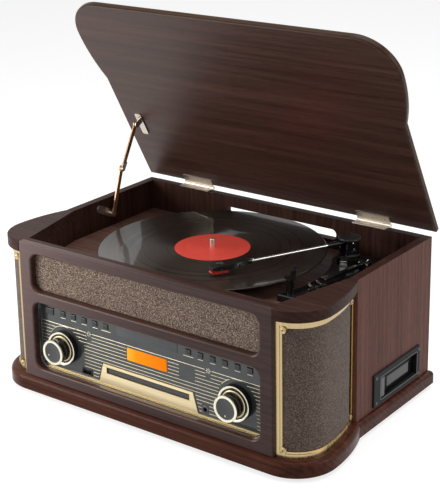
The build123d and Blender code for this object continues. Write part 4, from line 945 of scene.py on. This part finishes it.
silver_tube = brass("silver_tube", (0.86, 0.84, 0.80), 0.16, (120, 120, 900))
arm = made_from("tonearm", silver_tube)
paint(arm, gloss_black, lambda middle, facing: not 0.0325 < along(middle) < 0.1395)
paint(arm, chrome, lambda middle, facing: abs((middle - arm_foot).dot(arm_side)) > 0.0098
      and along(middle) < 0.02)
tube_way = (along_arm * 150 + Vector((0, 0, -3.5))).normalized()
collar = turned("arm_collar", mm((1.8, 137), (2.5, 137), (2.7, 137.3), (2.7, 138.1), (2.4, 138.3),
                (2.4, 138.7), (2.7, 138.9), (2.7, 139.8), (1.8, 140), (1.8, 137)), arm_foot,
                tube_way, chrome, 32)
lift_root = arm_foot + along_arm * 0.186 + Vector((0, 0, -0.0042))
finger_lift = swept_lines("finger_lift", [[
    lift_root - arm_side * out - Vector((0, 0, drop))
    for out, drop in ((0.0072, 0), (0.011, 0), (0.0145, 0.0002), (0.0165, 0.0008))]], 0.0007,
    gloss_black)
for part in (collar, finger_lift):
    fasten(part, "tonearm")
stylus_red = plastic("stylus_red", (0.60, 0.030, 0.014), 0.2)
cartridge = made_from("cartridge", stylus_red)
paint(cartridge, gloss_black, lambda middle, facing: middle.z > base + 0.1747)
cheek_seat = arm_foot - arm_side * 0.01 - along_arm * 0.001 - Vector((0, 0, 0.0085))
crosshead_screws("pivot_screws", [(cheek_seat, -arm_side)], 0.0016, chrome, "arm_pivot")
bridge_steel = brass("bridge_steel", (0.78, 0.77, 0.74), 0.2)
bridge = slab("lift_bridge", [(-5, 0), (5, 0), (5, 6), (3.4, 7.6), (-3.4, 7.6), (-5, 6)],
              lambda x, z: at(150 + x * 0.94, 233.4 + x * 0.34, 153.6 + z),
              Vector((-0.0004, 0.0011, 0)), bridge_steel, 0.0002)
fasten(bridge, "cabinet")
made_from("cue_lever", gloss_black, 0.0002)
lever_turn = radians(257.9)
lever_back = -Vector((cos(lever_turn), sin(lever_turn), 0))
ring_middle, ring_radius = at(176, 243, 161) + lever_back * 0.0068, 0.0033
lever_ring = swept_lines("lever_ring", [[
    ring_middle + lever_back * ring_radius * cos(turn * pi / 12)
    + Vector((0, 0, ring_radius * sin(turn * pi / 12))) for turn in range(25)]], 0.00055, chrome)
fasten(lever_ring, "cue_lever")
switch_black = plastic("switch_black", (0.012, 0.012, 0.012), 0.2)
for name, x, y in (("speed_switch", 164, 141), ("autostop_switch", 168, 157)):
    pin = at(x, y, 0)
    lever = made_from(name, switch_black)
    paint(lever, chrome, lambda middle, facing: hypot(middle.x - pin.x, middle.y - pin.y) > 0.0088)

# ================================================================ lid
# One board with the outline of the crown: a dark straight-grained veneer on both faces, painted
# redder towards the middle, and a lighter band of the same wood round its rounded edge.
lid_angle = radians(61)
lid_up = Vector((0, sin(lid_angle), cos(lid_angle)))
lid_back = Vector((0, cos(lid_angle), -sin(lid_angle)))
lid_wood = veneer("lid_wood", (0.038, 0.015, 0.010), (0.060, 0.025, 0.018), (0.090, 0.040, 0.028),
                  shift=(0.3, 0.6, 0.1), sheen=0.38, haze=0.4)
soft_colour_patch(lid_wood, (0.115, 0.020, 0.012), (0.06, 0.06, 0.37), (0.24, 0.16, 0.16), 0.75)
edge_wood = veneer("edge_wood", (0.030, 0.012, 0.005), (0.055, 0.024, 0.011), (0.085, 0.040, 0.020),
                   shift=(0.2, 0.1, 0.4), sheen=0.3, haze=0.12)
lid = made_from("lid", lid_wood, 0.002)
paint(lid, edge_wood, lambda middle, facing: abs(facing.dot(lid_up)) < 0.9)

# ================================================================ hinges
# Two nickel butt hinges, each with five knuckles on a pin, three screws in the lid's leaf and
# three in the cabinet's.
hinge_nickel = brass("hinge_nickel", (0.68, 0.62, 0.54), 0.34, (3, 3, 3))
made_from("lid_hinge_leaves", hinge_nickel)
made_from("cabinet_hinge_leaves", hinge_nickel)
hinge_x, screw_places = 146, (-18, 0, 18)
for side, name in ((-1, "left"), (1, "right")):
    seats = [(at(side * hinge_x + x, 317.2, 189.35) - lid_back * 0.0092 + lid_up * 0.0006,
              -lid_up) for x in screw_places]
    crosshead_screws(name + "_lid_hinge_screws", seats, 0.0019, hinge_nickel, "lid")
    seats = [(at(side * hinge_x + x, 308, 188.75), Vector((0, 0, 1))) for x in screw_places]
    crosshead_screws(name + "_cabinet_hinge_screws", seats, 0.0019, hinge_nickel, "cabinet")

# ================================================================ lid stay
# A folding stay on the left: two copper-plated links that meet at a knuckle with a nickel clip,
# one riveted to a bracket on the wall and the other to a bracket under the lid.
stay_copper = brass("stay_copper", (0.46, 0.27, 0.16), 0.42)
made_from("stay_upper_link", stay_copper, 0.0002)
made_from("stay_lower_link", stay_copper, 0.0002)
made_from("stay_lid_bracket", hinge_nickel, 0.0002)
made_from("stay_wall_bracket", hinge_nickel, 0.0002)
knuckle, link_way = at(-211.9, 225.42, 226.69), Vector((0, 0.4720, 0.8816))
link_across = Vector((0, link_way.z, -link_way.y))
clip = slab("knuckle_clip", rounded_box(8.6, 9, 1.5), lambda x, y: knuckle + (link_across * x
            + link_way * (y + 6.5)) / 1000, Vector((0.0009, 0, 0)), hinge_nickel, 0.0002)
stud = turned("knuckle_stud", mm((0, 0), (3.9, 0), (3.9, 1.2), (3.2, 1.7), (0, 1.8)), knuckle,
              (1, 0, 0), hinge_nickel, 32)
for part in (clip, stud):
    fasten(part, "stay_upper")

# ================================================================ rear
# The back board is screwed on all round. Its socket plate has two line sockets with coloured
# rings, the aerial socket and the two-pin mains inlet.
steel_screw = brass("steel_screw", (0.50, 0.50, 0.50), 0.3, (900, 900, 60))
crosshead_screws("back_screws", [(at(x, 314, z), Vector((0, 1, 0))) for x, z in (
    (-208, 12), (-70, 8), (70, 8), (208, 12), (-208, 95), (208, 95), (-208, 178), (208, 178))],
    0.0030, steel_screw, "cabinet")
made_from("rear_socket_plate", socket_black, 0.0002)
crosshead_screws("plate_screws", [(at(-110 + x, 316, 48 + z), Vector((0, 1, 0)))
                 for x in (-68, 68) for z in (-25, 25)], 0.0026, steel_screw, "cabinet")
ring_red = plastic("ring_red", (0.55, 0.02, 0.015), 0.35)
ring_white = plastic("ring_white", (0.75, 0.75, 0.72), 0.35)
for name, x, z, inner, finish in (("line_ring_white", -70, 58, 4.2, ring_white),
                                  ("line_ring_red", -70, 38, 4.2, ring_red),
                                  ("aerial_ring", -110, 48, 4.7, chrome)):
    ring = turned(name, mm((inner, 1.9), (inner + 1.8, 1.9), (inner + 1.8, 3.0), (inner + 1.2, 3.6),
                  (inner, 3.6), (inner, 1.9)), at(x, 314, z), (0, 1, 0), finish, 40)
    fasten(ring, "cabinet")
